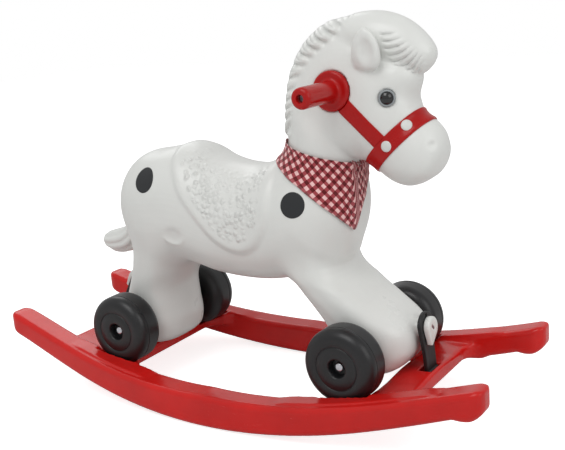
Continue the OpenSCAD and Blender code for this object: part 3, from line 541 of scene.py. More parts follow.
def gingham_group():
    """Checks woven on the bias, from the piece's own cloth map in metres."""
    tree, given, out = group("Gingham Weave", {"Check": .0068, "Thread": .0007}, ("Pale", "Height"))
    at = put(tree, "ShaderNodeUVMap", uv_map="Cloth").outputs["UV"]
    on_bias = stretched(tree, at, (1, 1, 1), (0, 0, math.radians(45)))
    apart = put(tree, "ShaderNodeSeparateXYZ", {"Vector": on_bias})
    pale, threads = [], []
    for axis in ("X", "Y"):
        half = calc(tree, "DIVIDE", apart.outputs[axis], 2.0)
        part = calc(tree, "FRACT", calc(tree, "DIVIDE", half, given["Check"]))
        pale.append(remap(tree, calc(tree, "ABSOLUTE", calc(tree, "SUBTRACT", part, .5)), .235, .265))
        turns = calc(tree, "DIVIDE", apart.outputs[axis], given["Thread"])
        threads.append(calc(tree, "SINE", calc(tree, "MULTIPLY", turns, 2 * math.pi)))
    tree.links.new(calc(tree, "MULTIPLY", calc(tree, "ADD", *pale), .5), out["Pale"])
    tree.links.new(calc(tree, "MULTIPLY", *threads), out["Height"])
    return tree


def principled(name):
    m = bpy.data.materials.new(name)
    m.use_nodes = True
    return m, m.node_tree, m.node_tree.nodes["Principled BSDF"]


def dress(tree, shader, **values):
    """Set or link the shader's inputs, whose names are given with _ for each space."""
    for key, value in values.items():
        socket = shader.inputs[key.replace("_", " ")]
        if isinstance(value, bpy.types.NodeSocket):
            tree.links.new(value, socket)
        else:
            socket.default_value = value


def bump(tree, height, strength, distance, below=None):
    values = {"Height": height, "Strength": strength, "Distance": distance}
    if below is not None:
        values["Normal"] = below
    return put(tree, "ShaderNodeBump", values).outputs[0]


def moulded_plastic(name, colour, rough, ripple, dip, deep=None, coat=0.0, scuffed=.5, reach=.12, shine=.5):
    """Glossy or satin moulded plastic: faint ripples, worn patches and scuffs."""
    m, tree, shader = principled(name)
    skin = put(tree, "ShaderNodeGroup", node_tree=MADE["groups"]["skin"])
    skin.inputs["Ripple"].default_value = ripple
    marks = put(tree, "ShaderNodeGroup", node_tree=MADE["groups"]["scuffs"])
    marks.inputs["Amount"].default_value = scuffed
    marks.inputs["Reach"].default_value = reach
    patches, mask = skin.outputs["Patches"], marks.outputs["Mask"]
    dark = linear(deep) if deep else linear(colour, .9)
    pale = linear([min(1, .75 * v + .22) for v in colour])
    tone = blend(tree, remap(tree, patches, .35, .7), linear(colour), dark)
    worn = blend(tree, calc(tree, "MULTIPLY", mask, .6), tone, pale)
    roughness = remap(tree, patches, .3, .75, rough * .85, rough * 1.25)
    relief = bump(tree, skin.outputs["Height"], .35, dip)
    dress(tree, shader, Base_Color=worn, Roughness=calc(tree, "MULTIPLY_ADD", mask, .25, roughness),
          Specular_IOR_Level=shine, Coat_Weight=coat, Coat_Roughness=.08, Normal=relief)
    return m, tree, shader, worn, relief


def horse_plastic(settings):
    """White plastic with pebbles on the saddle and painted shade between the strands, from attributes on the
    skin.
    """
    white = settings.horse_colour
    m, tree, shader, worn, ripples = moulded_plastic("horse white plastic", white, .3, 16.0, .0006,
                                                     deep=[.975 * v for v in white], scuffed=.1, reach=.2)
    at = places(tree)
    bent = put(tree, "ShaderNodeVectorMath", {0: noise(tree, at, 190.0, 2.0, "Color"), 1: (.004, .004, .004)},
               operation="MULTIPLY").outputs[0]
    bent = put(tree, "ShaderNodeVectorMath", {0: at, 1: bent}, operation="ADD").outputs[0]
    cells = put(tree, "ShaderNodeTexVoronoi", {"Vector": bent, "Scale": 118.0}, feature="F1").outputs
    by_chance = put(tree, "ShaderNodeSeparateXYZ", {"Vector": cells["Color"]}).outputs["X"]
    pebbles = calc(tree, "MULTIPLY", remap(tree, cells["Distance"], .12, .62, 1.0, 0.0),
                   remap(tree, by_chance, .1, .5, .45))
    turns = calc(tree, "MULTIPLY", stored(tree, "strand_turns"), math.pi)
    ridge = calc(tree, "POWER", calc(tree, "ABSOLUTE", calc(tree, "SINE", turns)), .7)
    strands = calc(tree, "MULTIPLY", calc(tree, "MULTIPLY", ridge, stored(tree, "strand_depth")), 1.3)
    relief = calc(tree, "MULTIPLY_ADD", pebbles, stored(tree, "pebbled"), strands)
    # painted shade: the white turns grey where the skin dips between strands
    shade = blend(tree, calc(tree, "MULTIPLY", stored(tree, "hollow"), .3), worn, linear((.6, .62, .6)))
    dress(tree, shader, Base_Color=shade, Normal=bump(tree, relief, 1.0, .0022, ripples))
    return m


def cloth_finish(settings):
    """Cotton woven in checks, a little faded, with a paler hem."""
    m, tree, shader = principled("gingham cotton")
    weave = put(tree, "ShaderNodeGroup", node_tree=MADE["groups"]["gingham"])
    weave.inputs["Check"].default_value = settings.check
    mottle = noise(tree, places(tree), 260.0, 2.0)
    ramps = put(tree, "ShaderNodeValToRGB", {"Fac": weave.outputs["Pale"]})
    dark, pale = ramps.color_ramp.elements[:]
    dark.color, pale.color = linear(settings.cloth_dark), linear(settings.cloth_pale)
    ramps.color_ramp.elements.new(.5).color = linear(settings.cloth_mid)
    fade = remap(tree, mottle, .35, .75, 0.0, .22)
    faded = blend(tree, fade, ramps.outputs["Color"], linear((.55, .3, .3)))
    hemmed = blend(tree, calc(tree, "MULTIPLY", stored(tree, "hem"), .15), faded, linear((.93, .66, .66)))
    dress(tree, shader, Base_Color=hemmed, Roughness=remap(tree, mottle, 0.0, 1.0, .8, .98), Sheen_Weight=.25,
          Sheen_Roughness=.5, Specular_IOR_Level=.25, Normal=bump(tree, weave.outputs["Height"], .35, .00025))
    return m


def metal(name, colour, rough, lines):
    """Brushed or plated metal, whose lines run across the longest of the three scales."""
    m, tree, shader = principled(name)
    brushed = noise(tree, stretched(tree, places(tree), lines), 1.0, 3.0)
    dress(tree, shader, Base_Color=blend(tree, brushed, linear(colour), linear(colour, .82)),
          Roughness=remap(tree, brushed, 0.0, 1.0, rough * .7, rough * 1.4), Metallic=1.0,
          Normal=bump(tree, brushed, .15, .0001))
    return m


def finishes():
    """Make every material, by the name that the steps below ask for."""
    s = bpy.context.scene.rocking_horse
    MADE["groups"] = {"skin": moulded_skin_group(), "scuffs": scuffs_group(), "gingham": gingham_group()}
    made = {"horse": horse_plastic(s)}
    # name, colour, roughness, ripples per metre, their height in metres, what differs from plain plastic
    plastics = {
        "base": ("rocker red plastic", s.base_colour, .2, 14.0, .0008, dict(coat=.12, shine=.28)),
        "trim": ("bridle red plastic", s.trim_colour, .26, 40.0, .0003,
                 dict(coat=.12, scuffed=.15, shine=.2)),
        "grip": ("handle red plastic", s.trim_colour, .22, 40.0, .0003, dict(coat=.1, scuffed=.2, shine=.25)),
        "wheel": ("wheel black plastic", s.wheel_colour, .34, 60.0, .0003,
                  dict(deep=(.07, .07, .075), scuffed=.7, reach=.3)),
        "stud": ("stud white plastic", s.horse_colour, .3, 60.0, .0002, dict(scuffed=.1)),
        "latch": ("latch white plastic", s.horse_colour, .3, 60.0, .0003, dict(scuffed=.3)),
        "strap": ("strap black rubber", (.1, .1, .105), .55, 90.0, .0004, dict(scuffed=.3, reach=.4)),
        "spot": ("spot black film", (.13, .14, .15), .38, 120.0, .0001, dict(scuffed=.1)),
        "eye ring": ("eye grey plastic", (.6, .62, .63), .25, 80.0, .0002, dict(scuffed=0.0)),
        "eye dome": ("eye black plastic", (.05, .055, .06), .07, 80.0, .0001, dict(coat=.5, scuffed=0.0)),
    }
    for key, (*plain, more) in plastics.items():
        made[key] = moulded_plastic(*plain, **more)[0]
    made["chrome"] = metal("plated cap", (.86, .86, .88), .12, (300, 300, 300))
    made["steel"] = metal("plain steel", (.7, .71, .73), .3, (900, 40, 900))
    made["cloth"] = cloth_finish(s)
    MADE["finish"] = made


# ---------------------------------------------------------------- the rocker base
HALF_L, TIP_SPAN, BOW_OUT, BAR_W, BAR_H = 415.0, 242.0, 31.0, 43.0, 49.0
BAR_REAR_H, BAR_FRONT_H, RUN_R, RUN_HALF, TIP_RUN_R = 35.0, 32.0, 1020.0, 260.0, 2000.0
REAR_CROSS, FRONT_CROSS = (-316, -182, 71, 57, 0), (243, 300, 66, 71, 3)  # x from and to, z from and to, bow
DECKS = ((-276, -110), (118, 353))
TIP_LEN, LUG_LEN, LUG_DROP = 18, 40, 7
WELL_GAP, WELL_SIDE = .6, 1.5
POCKET_X = {"front": 286.1, "rear": -304.9}  # where the straps' pins are, along the base
RUN_TURN = math.asin(RUN_HALF / RUN_R)


def run_z(x):
    """Height of the runners' underside, a long arc with a flatter one at each end."""
    d = abs(x)
    if d < RUN_HALF:
        return RUN_R - math.sqrt(RUN_R ** 2 - d * d)
    turn = math.asin(math.sin(RUN_TURN) + (d - RUN_HALF) / TIP_RUN_R)
    return RUN_R * (1 - math.cos(RUN_TURN)) + TIP_RUN_R * (math.cos(RUN_TURN) - math.cos(turn))


def rim_z(x):
    """Height of the bars' top."""
    return run_z(x) + BAR_H + ((BAR_REAR_H if x < 0 else BAR_FRONT_H) - BAR_H) * abs(x) / HALF_L


def bar_y(x):
    """Where the middle of a bar is, across the horse."""
    return TIP_SPAN / 2 + BOW_OUT * max(0, 1 - (x / (HALF_L - 20)) ** 2) ** 1.5


def pill(w, h, r, k=6):
    """A rounded rectangle round the origin, with k steps to each corner."""
    out = []
    for q in range(4):
        sx, sy = (1 if q in (0, 3) else -1), (1 if q < 2 else -1)
        out += arc(sx * (w / 2 - r), sy * (h / 2 - r), r, q * 90, q * 90 + 90, k)
    return np.array(out)


def set_up(p, x, y, low, top):
    """A flat outline stood across the bars at x and y, midway between low and top."""
    return np.stack([np.full(len(p), x), y + p[:, 0], (low + top) / 2 + p[:, 1]], 1)


def bar_ring(x, s):
    """A slice through a bar, smaller towards its tip, with a lug under the front one."""
    d = min(HALF_L - abs(x), TIP_LEN)
    f = .35 + .65 * math.sqrt(max(0, 1 - (1 - d / TIP_LEN) ** 2))
    on_lug = x - HALF_L + LUG_LEN
    lug = LUG_DROP * math.sin(math.radians(180 * on_lug / (LUG_LEN + 6))) if on_lug > 0 else 0
    low, top = run_z(x) - lug, rim_z(x)
    return set_up(pill(BAR_W * f, (top - low) * (.5 + .5 * f), max(2, 8 * f)), x, s * bar_y(x), low, top)


def deck_ring(x, span, s):
    """A slice through the deck that a wheel stands on, a little above the bar and sloping at both ends."""
    e = min(1, min(x - span[0], span[1] - x) / 26)
    low, top = rim_z(x) - 14, rim_z(x) + 3 * (1 - (1 - e) ** 2) - .5
    return set_up(pill(BAR_W - 13, top - low, 3, 3), x, s * (bar_y(x) - 4.5), low, top)


def cross_inner(c):
    return bar_y((c[0] + c[1]) / 2) - BAR_W / 2


def cross_ring(y, c):
    """A slice through a crossbar, which bows up in the middle and flares where it meets the bars."""
    flare, r, deep = 30, 6, 21
    t = min(1, max(0, abs(y) - (cross_inner(c) - flare)) / flare)
    e = flare * (1 - math.sqrt(1 - t * t))
    x0, x1 = c[0] - e, c[1] + e
    up = c[4] * max(0, math.cos(math.radians(min(90, abs(y) * 1.6))))
    u = np.array([0, .25, .5, 1, 2, 3.5, 5, 12, 20, 35, 50])
    u = np.concatenate([u, [65, 80, 88, 95, 96.5, 98, 99, 99.5, 99.75, 100]]) / 100
    q = np.minimum(u, 1 - u) * (x1 - x0)
    k = np.where(q < r, np.sqrt(np.maximum(r * r - (r - q) ** 2, 0)), r)
    x, z = x0 + u * (x1 - x0), c[2] + (c[3] - c[2]) * u + up
    top = np.stack([x, np.full_like(x, y), z - r + k], 1)
    low = np.stack([x, np.full_like(x, y), z - r - deep - k + 2 * r - up], 1)[-2:0:-1]
    return np.concatenate([top, low])


class RH_OT_base(bpy.types.Operator):
    """Make the red rocker base as one smooth moulding"""
    bl_idname = "rocking_horse.base"
    bl_label = "Rocker Base"

    def execute(self, context):
        g = Field((-424, -180, -6), (424, 180, 120), 2.3, 10)
        y = np.abs(g.y)
        ends = (-HALF_L, -HALF_L + TIP_LEN, HALF_L - LUG_LEN - 8, HALF_L)
        xs = [np.linspace(a, b, count) for a, b, count in zip(ends, ends[1:], (8, 70, 22))]
        xs = sorted(set(np.concatenate(xs).round(4)))
        bars = []
        for s in (-1, 1):
            bar = g.of(loft([bar_ring(x, s) for x in xs]))
            for span in DECKS:
                bar = join(bar, g.of(loft([deck_ring(x, span, s) for x in np.linspace(*span, 30)])), 2)
            bars.append(bar)
        f = np.minimum(*bars)
        for c in (REAR_CROSS, FRONT_CROSS):
            inner = cross_inner(c)
            side = np.linspace(inner - 30, inner - 1, 12)
            middle = np.linspace(-inner + 36, inner - 36, 25)
            ys = np.concatenate([[-inner - 12], -side[::-1], middle, side, [inner + 12]])
            f = join(f, g.of(loft([cross_ring(at, c) for at in ys])), 9)
        for x in (REAR_X, FRONT_X):  # wells that the wheels stand in
            r = np.sqrt((g.x - x) ** 2 + (g.z - AXLE_H) ** 2)
            sides = np.maximum(WHEEL_IN - WELL_SIDE - y, y - WHEEL_IN - WHEEL_W - WELL_SIDE)
            f = cut(f, -np.maximum(r - WHEEL_R - WELL_GAP, sides), 1.5)
        long, wide, deep, inward = 9.5, 16.5, 6.5, 2.5
        for key, (s, _, _, _, pin_z) in STRAPS.items():  # pockets for the straps' feet
            along = np.abs(g.x - POCKET_X[key] + s * inward) - long
            f = cut(f, -np.maximum(along, np.maximum(y - wide, pin_z - deep - g.z)), 2)
        points, quads = g.mesh(f)
        mesh = quick_mesh("rocker_base_shell", points, quads)
        finished("rocker_base_shell", mesh, "base", "base", ["rocker_base"])
        mesh.normals_split_custom_set_from_vertices([tuple(n) for n in g.slope(f, points)])
        return {"FINISHED"}


# ---------------------------------------------------------------- the horse
STRAND = 15.0  # from one strand of the mane to the next
LEG_BLEND, NECK_BLEND = 20, 26


def raised_saddle(g, trunk):
    """The saddle, a raised pad with a plain rolled rim, and the distance to its outline."""
    height, rim, rim_in = 4.6, .7, 9
    edge = flat_distance(through(SADDLE_OUTLINE, 6, True), g.axis[0], g.axis[2])[:, None, :]
    rise = height + rim * np.exp(-((np.clip(-edge, 0, 40) - rim_in) / 8) ** 2)
    return cut(trunk - rise, edge, 10), edge


def swept_mane(g, neck):
    """The mane, a raised layer whose strands sweep back from the hairline, and what its marks need."""
    height, crown, ridge, from_x, from_z = 8.5, 3, 2.2, 205, 440
    hair = flat_distance(through(MANE_OUTLINE, 5, True), g.axis[0], g.axis[2])[:, None, :]
    ex, ez = g.x - from_x, g.z - from_z
    turn, far = np.arctan2(ez, -ex), np.hypot(ex, ez)
    sweep = turn * 96 + (far - 80) * .55 + 3 * np.sin(turn * 7)
    wave = sweep + 4 * np.sin(sweep / 23 + g.y / 40)
    lines = .5 + .5 * np.cos(2 * np.pi * wave / STRAND)
    inward = np.clip(-hair / 8, 0, 1)
    fade = (.45 + .55 * np.exp(-(hair / 15) ** 2)) * (.7 + .3 * np.cos(turn * 9 + 1))
    thick = height + crown * np.exp(-((g.x - 160) / 34) ** 2) * ramp(g.z, 500, 30)
    mane = cut(neck - thick + ridge * lines ** 3 * inward * fade, hair + 5 * lines ** 2, 13)
    return mane, hair, wave, lines


def lapped_forelock(g):
    """The forelock, whose locks lap down its side in short grooves that rise towards the front."""
    low_z, top_z, front_x, groove = 491.5, 542, 250, 3.8
    lift = 2e-4 * np.clip(g.x - front_x, 0, 50) ** 3 + .05 * (g.x - front_x)
    laps = (g.z - lift - low_z) / LOCK_PITCH
    from_x, to_x = 246 + .26 * (top_z - g.z), 268 + 38 * fall(g.z, top_z, 35)
    shown = ramp(g.x, from_x, 5) * fall(g.x, to_x, 22) * fall(g.z, top_z + 4, 6)
    shown = shown * ramp(np.abs(g.y), 5, 10)
    grooves = (1 - np.abs(np.sin(np.pi * laps)) ** .8) * (.75 + .25 * np.cos(2.1 * laps + 1)) * shown
    return g.of(ribbed(FORELOCK, 8, 160)) + groove * grooves, laps, shown


def tail_strands(t, v):
    """How far the tail reaches, at the angle t round it and the share v along it."""
    strands = (.5 + .5 * np.cos(9 * t + 1.2 * np.sin(4 * v))) ** 2
    return 1 - .12 * strands * np.clip(8 * v, 0, 1) * np.clip(5 * (1 - v), 0, 1)


def leaf_ear(g, s):
    """One ear, a soft leaf with a scooped face."""
    place = Matrix.Translation((231.5, s * .84 * HW, 499)) @ turned("Y", 2) @ turned("X", s * -7)
    across, round_it, _ = bows(2, 32)
    rings = [np.array([tuple(place @ Vector((a * u, b * v, h))) for u, v in zip(across, round_it)])
             for a, h, b in through(EAR, 4)]
    centre = place @ Vector((5, s * 12, 20))
    scoop = ball(g, (centre.x, abs(centre.y), centre.z), (12, 8, 21))
    return cut(g.of(loft(rings)), (1 - scoop) * 7, 3)


def small_forms(g, body):
    """Pads under the straps, the dimple on each thigh, nostrils and the hollows round the eyes."""
    for key in STRAPS:
        way = on_pad(key)
        along, off = from_point(g, way.translation, way.to_3x3() @ Vector((0, 0, 1)))
        body = join(body, np.maximum(off - 12, np.maximum(along, -24 - along)), 7)
    thigh = np.abs(g.y) > 55
    dimple = np.sqrt(((g.x + 93) / 16) ** 2 + ((g.z - 256) / 13) ** 2)
    lip = np.exp(-((dimple - 1.15) / .2) ** 2) * (fall(g.z, 256, 8) * thigh)
    body = body + 3.0 / (1 + np.exp(np.minimum((dimple - .8) * 6, 80))) * thigh - lip
    body = body + 2.6 * np.exp(-ball(g, (312, 27, 394), (5, 6, 4.5)) ** 2)
    return body + 1.6 * np.exp(-ball(g, (254, 42, 457), (17, 14, 15)) ** 2 * 1.2)


def seats(g, body):
    """Flat seats for the handles' flanges and for the eyes."""
    flange = np.sqrt((g.x - HANDLE_X) ** 2 + (g.z - HANDLE_Z) ** 2) - 27.8
    body = cut(body, -np.maximum(flange, GRIP_SEAT - np.abs(g.y)), .8)
    for s in (-1, 1):
        n = outward(s).to_3x3() @ turned("Y", EYE_TURN).to_3x3() @ Vector((0, 0, 1))
        along, off = from_point(g, (EYE[0], s * EYE[1], EYE[2]), n)
        body = cut(body, -np.maximum(off - 11.2, -6 - along), .8)
    return body


class RH_OT_horse(bpy.types.Operator):
    """Make the horse's moulded skin, with its mane, forelock, tail, ears and pebbled saddle"""
    bl_idname = "rocking_horse.horse"
    bl_label = "Horse Body"

    def execute(self, context):
        g = Field((-318, -100, 50), (334, 100, 576), 2.35, 14)
        trunk, neck = g.of(ribbed(TRUNK)), g.of(ribbed(NECK))
        body = join(trunk, g.of(ribbed(FRONT_LEGS, 6, 64)), LEG_BLEND)
        body = join(body, g.of(ribbed(REAR_LEGS, 6, 64)), LEG_BLEND)
        body = join(body, neck, NECK_BLEND)
        saddle, edge = raised_saddle(g, trunk)
        mane, hair, wave, lines = swept_mane(g, neck)
        lock, laps, shown = lapped_forelock(g)
        brow_pad = (ball(g, (257, 0, 480), (32, 34, 29)) - 1) * 28
        tail = g.of(ribbed(TAIL, 8, 160, tail_strands))
        for form, soft in ((saddle, 6), (mane, 10), (brow_pad, 12), (lock, 5), (tail, 6),
                           (leaf_ear(g, -1), 4), (leaf_ear(g, 1), 4)):
            body = join(body, form, soft)
        body = seats(g, small_forms(g, body))

        points, quads = g.mesh(body)
        mesh = quick_mesh("horse_skin", points, quads)
        slopes = g.slope(body, points)

        def here(field):
            return g.read(np.broadcast_to(field, g.shape), points)

        # pebbled: the saddle inside its rim. Painted shade darkens the skin where it dips between strands
        # strand_turns and strand_depth: how far round the fine strands, in turns, and how deep they are
        x, over_trunk, over_neck, from_hair = points[:, 0], here(trunk), here(neck), here(hair)
        pebbled = (ramp(-here(edge), 15, 5) * fall(slopes[:, 2], .93, .15)
                   * ramp(over_trunk, 1.5, 1.5) * fall(over_trunk, 9, 2))
        hollow = np.clip(here(lines * (hair < -4)), 0, 1) ** 3 * ramp(over_neck, 2.4, 4) * (x < 196)
        on_lock = fall(np.abs(here(lock)), 4, 2) * here(shown)
        on_mane = ramp(over_neck, 3, 3) * ramp(-from_hair, 2.4, 8) * fall(x, 205, 8)
        turns = np.where(x > 215, here(laps), here(wave) / (STRAND / 2))
        for label, values in (("pebbled", pebbled), ("hollow", hollow), ("strand_turns", turns),
                              ("strand_depth", np.maximum(.6 * on_lock, .35 * on_mane))):
            keep_values(mesh, label, values)
        finished("horse_skin", mesh, "horse", "horse", ["horse_body"])
        mesh.normals_split_custom_set_from_vertices([tuple(n) for n in slopes])

        # what the bridle, the spots and the bandana rest on, and a coarse neck for the cloth to hang against
        MADE["horse_field"], MADE["horse_values"] = g, body
        MADE["skin"] = BVHTree.FromPolygons([tuple(p) for p in points * MM], quads.tolist())
        coarse = Field((20, -92, 200), (240, 92, 460), 5.0, 3)
        near = g.read(body, coarse.spots()).reshape(coarse.shape).astype(np.float32)
        MADE["rest"] = quick_mesh("cloth_rest", *coarse.mesh(near))
        return {"FINISHED"}


# ---------------------------------------------------------------- wheels and fittings
class RH_OT_wheels(bpy.types.Operator):
    """Turn the four black wheels"""
    bl_idname = "rocking_horse.wheels"
    bl_label = "Wheels"

    def execute(self, context):
        r, w, round_r, bore = WHEEL_R, WHEEL_W, 15.0, 4.05
        ring = .57 * r
        seam = w - round_r
        back = [(bore, 0), (14, 0), (15, .8), (24, .8), (26, 0)]
        tread = arc(r - round_r, round_r, round_r, -90, 0, 12)
        tread += [(r, seam - 3), (r - .9, seam - 2.4), (r - .9, seam - 1.6), (r, seam - 1)]
        tread += arc(r - round_r, seam, round_r, 0, 90, 12)
        groove = ((1.4, 0), (.9, .3), (.5, 1), (-.5, 1), (-.9, .3), (-1.4, 0))
        recess = ((15.5, 0), (14.5, .3), (13.5, 1.1), (12.8, 2.4), (12.6, 4), (12.4, 11.5), (11.6, 13))
        front = [(ring + out, w - down) for out, down in groove] + [(out, w - down) for out, down in recess]
        profile = back + tread + front + [(bore, w - 13.3)]
        for x, row in ((REAR_X, "rear"), (FRONT_X, "front")):
            for s, side in ((-1, "right"), (1, "left")):
                place = Matrix.Translation((x, 0, AXLE_H)) @ outward(s) @ Matrix.Translation((0, 0, WHEEL_IN))
                name = f"{row}_{side}_wheel"
                finished(name, lathe(name, profile, place, 128), "wheel", f"wheel_{row}_{side[0]}",
                         [f"wheel_{row}_{side}"], 50)
        return {"FINISHED"}


def instancer():
    """Geometry nodes that stand a copy of one small piece on each point, facing the way it gives."""
    tree = bpy.data.node_groups.new("Set Heads", "GeometryNodeTree")
    tree.is_modifier = True
    for label, kind in (("Geometry", "Geometry"), ("Head", "Object"), ("Finish", "Material")):
        tree.interface.new_socket(label, in_out="INPUT", socket_type="NodeSocket" + kind)
    tree.interface.new_socket("Geometry", in_out="OUTPUT", socket_type="NodeSocketGeometry")
    given = tree.nodes.new("NodeGroupInput").outputs
    head = put(tree, "GeometryNodeObjectInfo", {"Object": given["Head"]}).outputs["Geometry"]
    facing = put(tree, "GeometryNodeInputNamedAttribute", {"Name": "facing"}, data_type="FLOAT_VECTOR")
    turn = put(tree, "FunctionNodeAlignRotationToVector", {"Vector": facing.outputs[0]}, axis="Z").outputs[0]
    stand = put(tree, "GeometryNodeInstanceOnPoints", {"Points": given["Geometry"], "Instance": head,
                                                      "Rotation": turn}).outputs[0]
    real = put(tree, "GeometryNodeRealizeInstances", {"Geometry": stand}).outputs[0]
    done = put(tree, "GeometryNodeSetMaterial", {"Geometry": real, "Material": given["Finish"]}).outputs[0]
    tree.links.new(done, tree.nodes.new("NodeGroupOutput").inputs["Geometry"])
    return tree


def heads(name, where, profile, finish):
    """One plain mesh of like small heads, made by geometry nodes from a turned profile."""
    if "instancer" not in MADE:
        MADE["instancer"] = instancer()
    tree = MADE["instancer"]
    points = bpy.data.meshes.new(name + "_points")
    points.from_pydata([tuple(np.array(p) * MM) for p, _ in where], [], [])
    points.attributes.new("facing", "FLOAT_VECTOR", "POINT").data.foreach_set(
        "vector", np.array([n for _, n in where], np.float32).ravel())
    carrier = bpy.data.objects.new(name + "_points", points)
    head = bpy.data.objects.new(name + "_head", lathe(name + "_head", profile, Matrix.Identity(4), 32))
    for ob in (carrier, head):
        bpy.context.scene.collection.objects.link(ob)
    modifier = carrier.modifiers.new("heads", "NODES")
    modifier.node_group = tree
    ids = {i.name: i.identifier for i in tree.interface.items_tree if i.in_out == "INPUT"}
    modifier[ids["Head"]], modifier[ids["Finish"]] = head, MADE["finish"][finish]
    mesh = bpy.data.meshes.new_from_object(carrier.evaluated_get(bpy.context.evaluated_depsgraph_get()))
    if not mesh.polygons:
        raise RuntimeError(name + ": the heads came out empty")
    carrier.modifiers.remove(modifier)
    for ob in (carrier, head):
        bpy.data.objects.remove(ob)
    return mesh


class RH_OT_fittings(bpy.types.Operator):
    """Finish the axles, spacers, rod, screws and pins, and add the domed axle caps"""
    bl_idname = "rocking_horse.fittings"
    bl_label = "Axles and Fittings"

    def execute(self, context):
        steel = ("rear_axle", "front_axle", "handle_tie_rod", "handle_screws", "strap_pins", "latch_screws")
        for node in (*steel, "wheel_spacers"):
            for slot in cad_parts[node].material_slots:
                slot.material = MADE["finish"]["steel" if node in steel else "wheel"]
        seat = WHEEL_IN + WHEEL_W - 13
        where = [((x, s * seat, AXLE_H), (0, s, 0)) for x in (REAR_X, FRONT_X) for s in (-1, 1)]
        dome = arc(3.6, 2.6, 3.4, 0, 62, 6)
        profile = [(0, 0), (7, 0), (7, 1.2)] + dome + [(3.6, 5.9), (1.8, 6.0), (0, 6.0)]
        mesh = heads("wheel_caps", where, profile, "chrome")
        finished("wheel_caps", mesh, "chrome", "horse", ["axle_caps"], 60)
        return {"FINISHED"}


# ---------------------------------------------------------------- handles, eyes, bridle, spots
class RH_OT_handles(bpy.types.Operator):
    """Turn both red handles"""
    bl_idname = "rocking_horse.handles"
    bl_label = "Handles"

    def execute(self, context):
        flange, grip, fillet, end_r = 27.5, 14.5, 5, 6
        face = GRIP_SEAT + 9.0
        profile = [(0, GRIP_SEAT), (flange - 1, GRIP_SEAT), (flange, GRIP_SEAT + 1)]
        profile += arc(flange - 4, face - 4, 4, 0, 90, 8)
        profile += arc(grip + fillet, face + fillet, fillet, 270, 180, 9)
        profile += [(grip, z) for z in range(66, 126, 6)]
        profile += arc(grip - end_r, GRIP_OUT - end_r, end_r, 0, 88, 10)
        profile += [(r, GRIP_OUT - down) for r, down in ((7.0, 0), (5.6, .5), (5.3, 1.5), (5.3, 12), (0, 12))]
        for s, side in ((-1, "right"), (1, "left")):
            place = Matrix.Translation((HANDLE_X, 0, HANDLE_Z)) @ outward(s)
            name = f"{side}_handle"
            mesh = lathe(name, profile, place)
            finished(name, mesh, "grip", "horse", [f"handle_grip_{side}"], 50)
        return {"FINISHED"}


class RH_OT_eyes(bpy.types.Operator):
    """Turn the grey eye rings and the black domes inside them"""
    bl_idname = "rocking_horse.eyes"
    bl_label = "Eyes"

    def execute(self, context):
        r, bulge, deep = 8.5, 4, -6
        sphere = (r ** 2 + bulge ** 2) / (2 * bulge)
        ring = [(r, deep), (11, deep), (11, .8)] + arc(9.8, 1.0, 1.2, 0, 90, 5) + [(9.0, 2.0), (r, 1.4)]
        dome = [(0, deep), (r - .1, deep)] + [(x, 1.7 + math.sqrt(sphere ** 2 - x * x) - sphere + bulge)
                                              for x in np.linspace(r - .1, 0, 14)]
        places = [Matrix.Translation((EYE[0], s * EYE[1], EYE[2])) @ outward(s) @ turned("Y", EYE_TURN)
                  for s in (-1, 1)]
        for name, profile, finish, slot, node in (("eye_rims", ring, "eye ring", "eye_grey", "eye_rings"),
                                                  ("eye_pupils", dome, "eye dome", "eye_black", "eye_domes")):
            mesh = joined(name, [lathe(name, profile, place, 64) for place in places])
            finished(name, mesh, finish, "horse", [node], 50)
        return {"FINISHED"}


def from_side(x, z, s):
    """A ray to the skin from one side."""
    return (x, s * 110, z), (0, -s, 0)


def laid(rays):
    """Where rows of rays land on the skin: the places and the normals there."""
    found = np.array([[landed(*ray) for ray in row] for row in rays])
    return found[:, :, 0], found[:, :, 1]


def line_between(start, end):
    """The way from one flat point to another, and the way across it."""
    along = (end - start) / np.linalg.norm(end - start)
    return along, np.array((-along[1], along[0]))


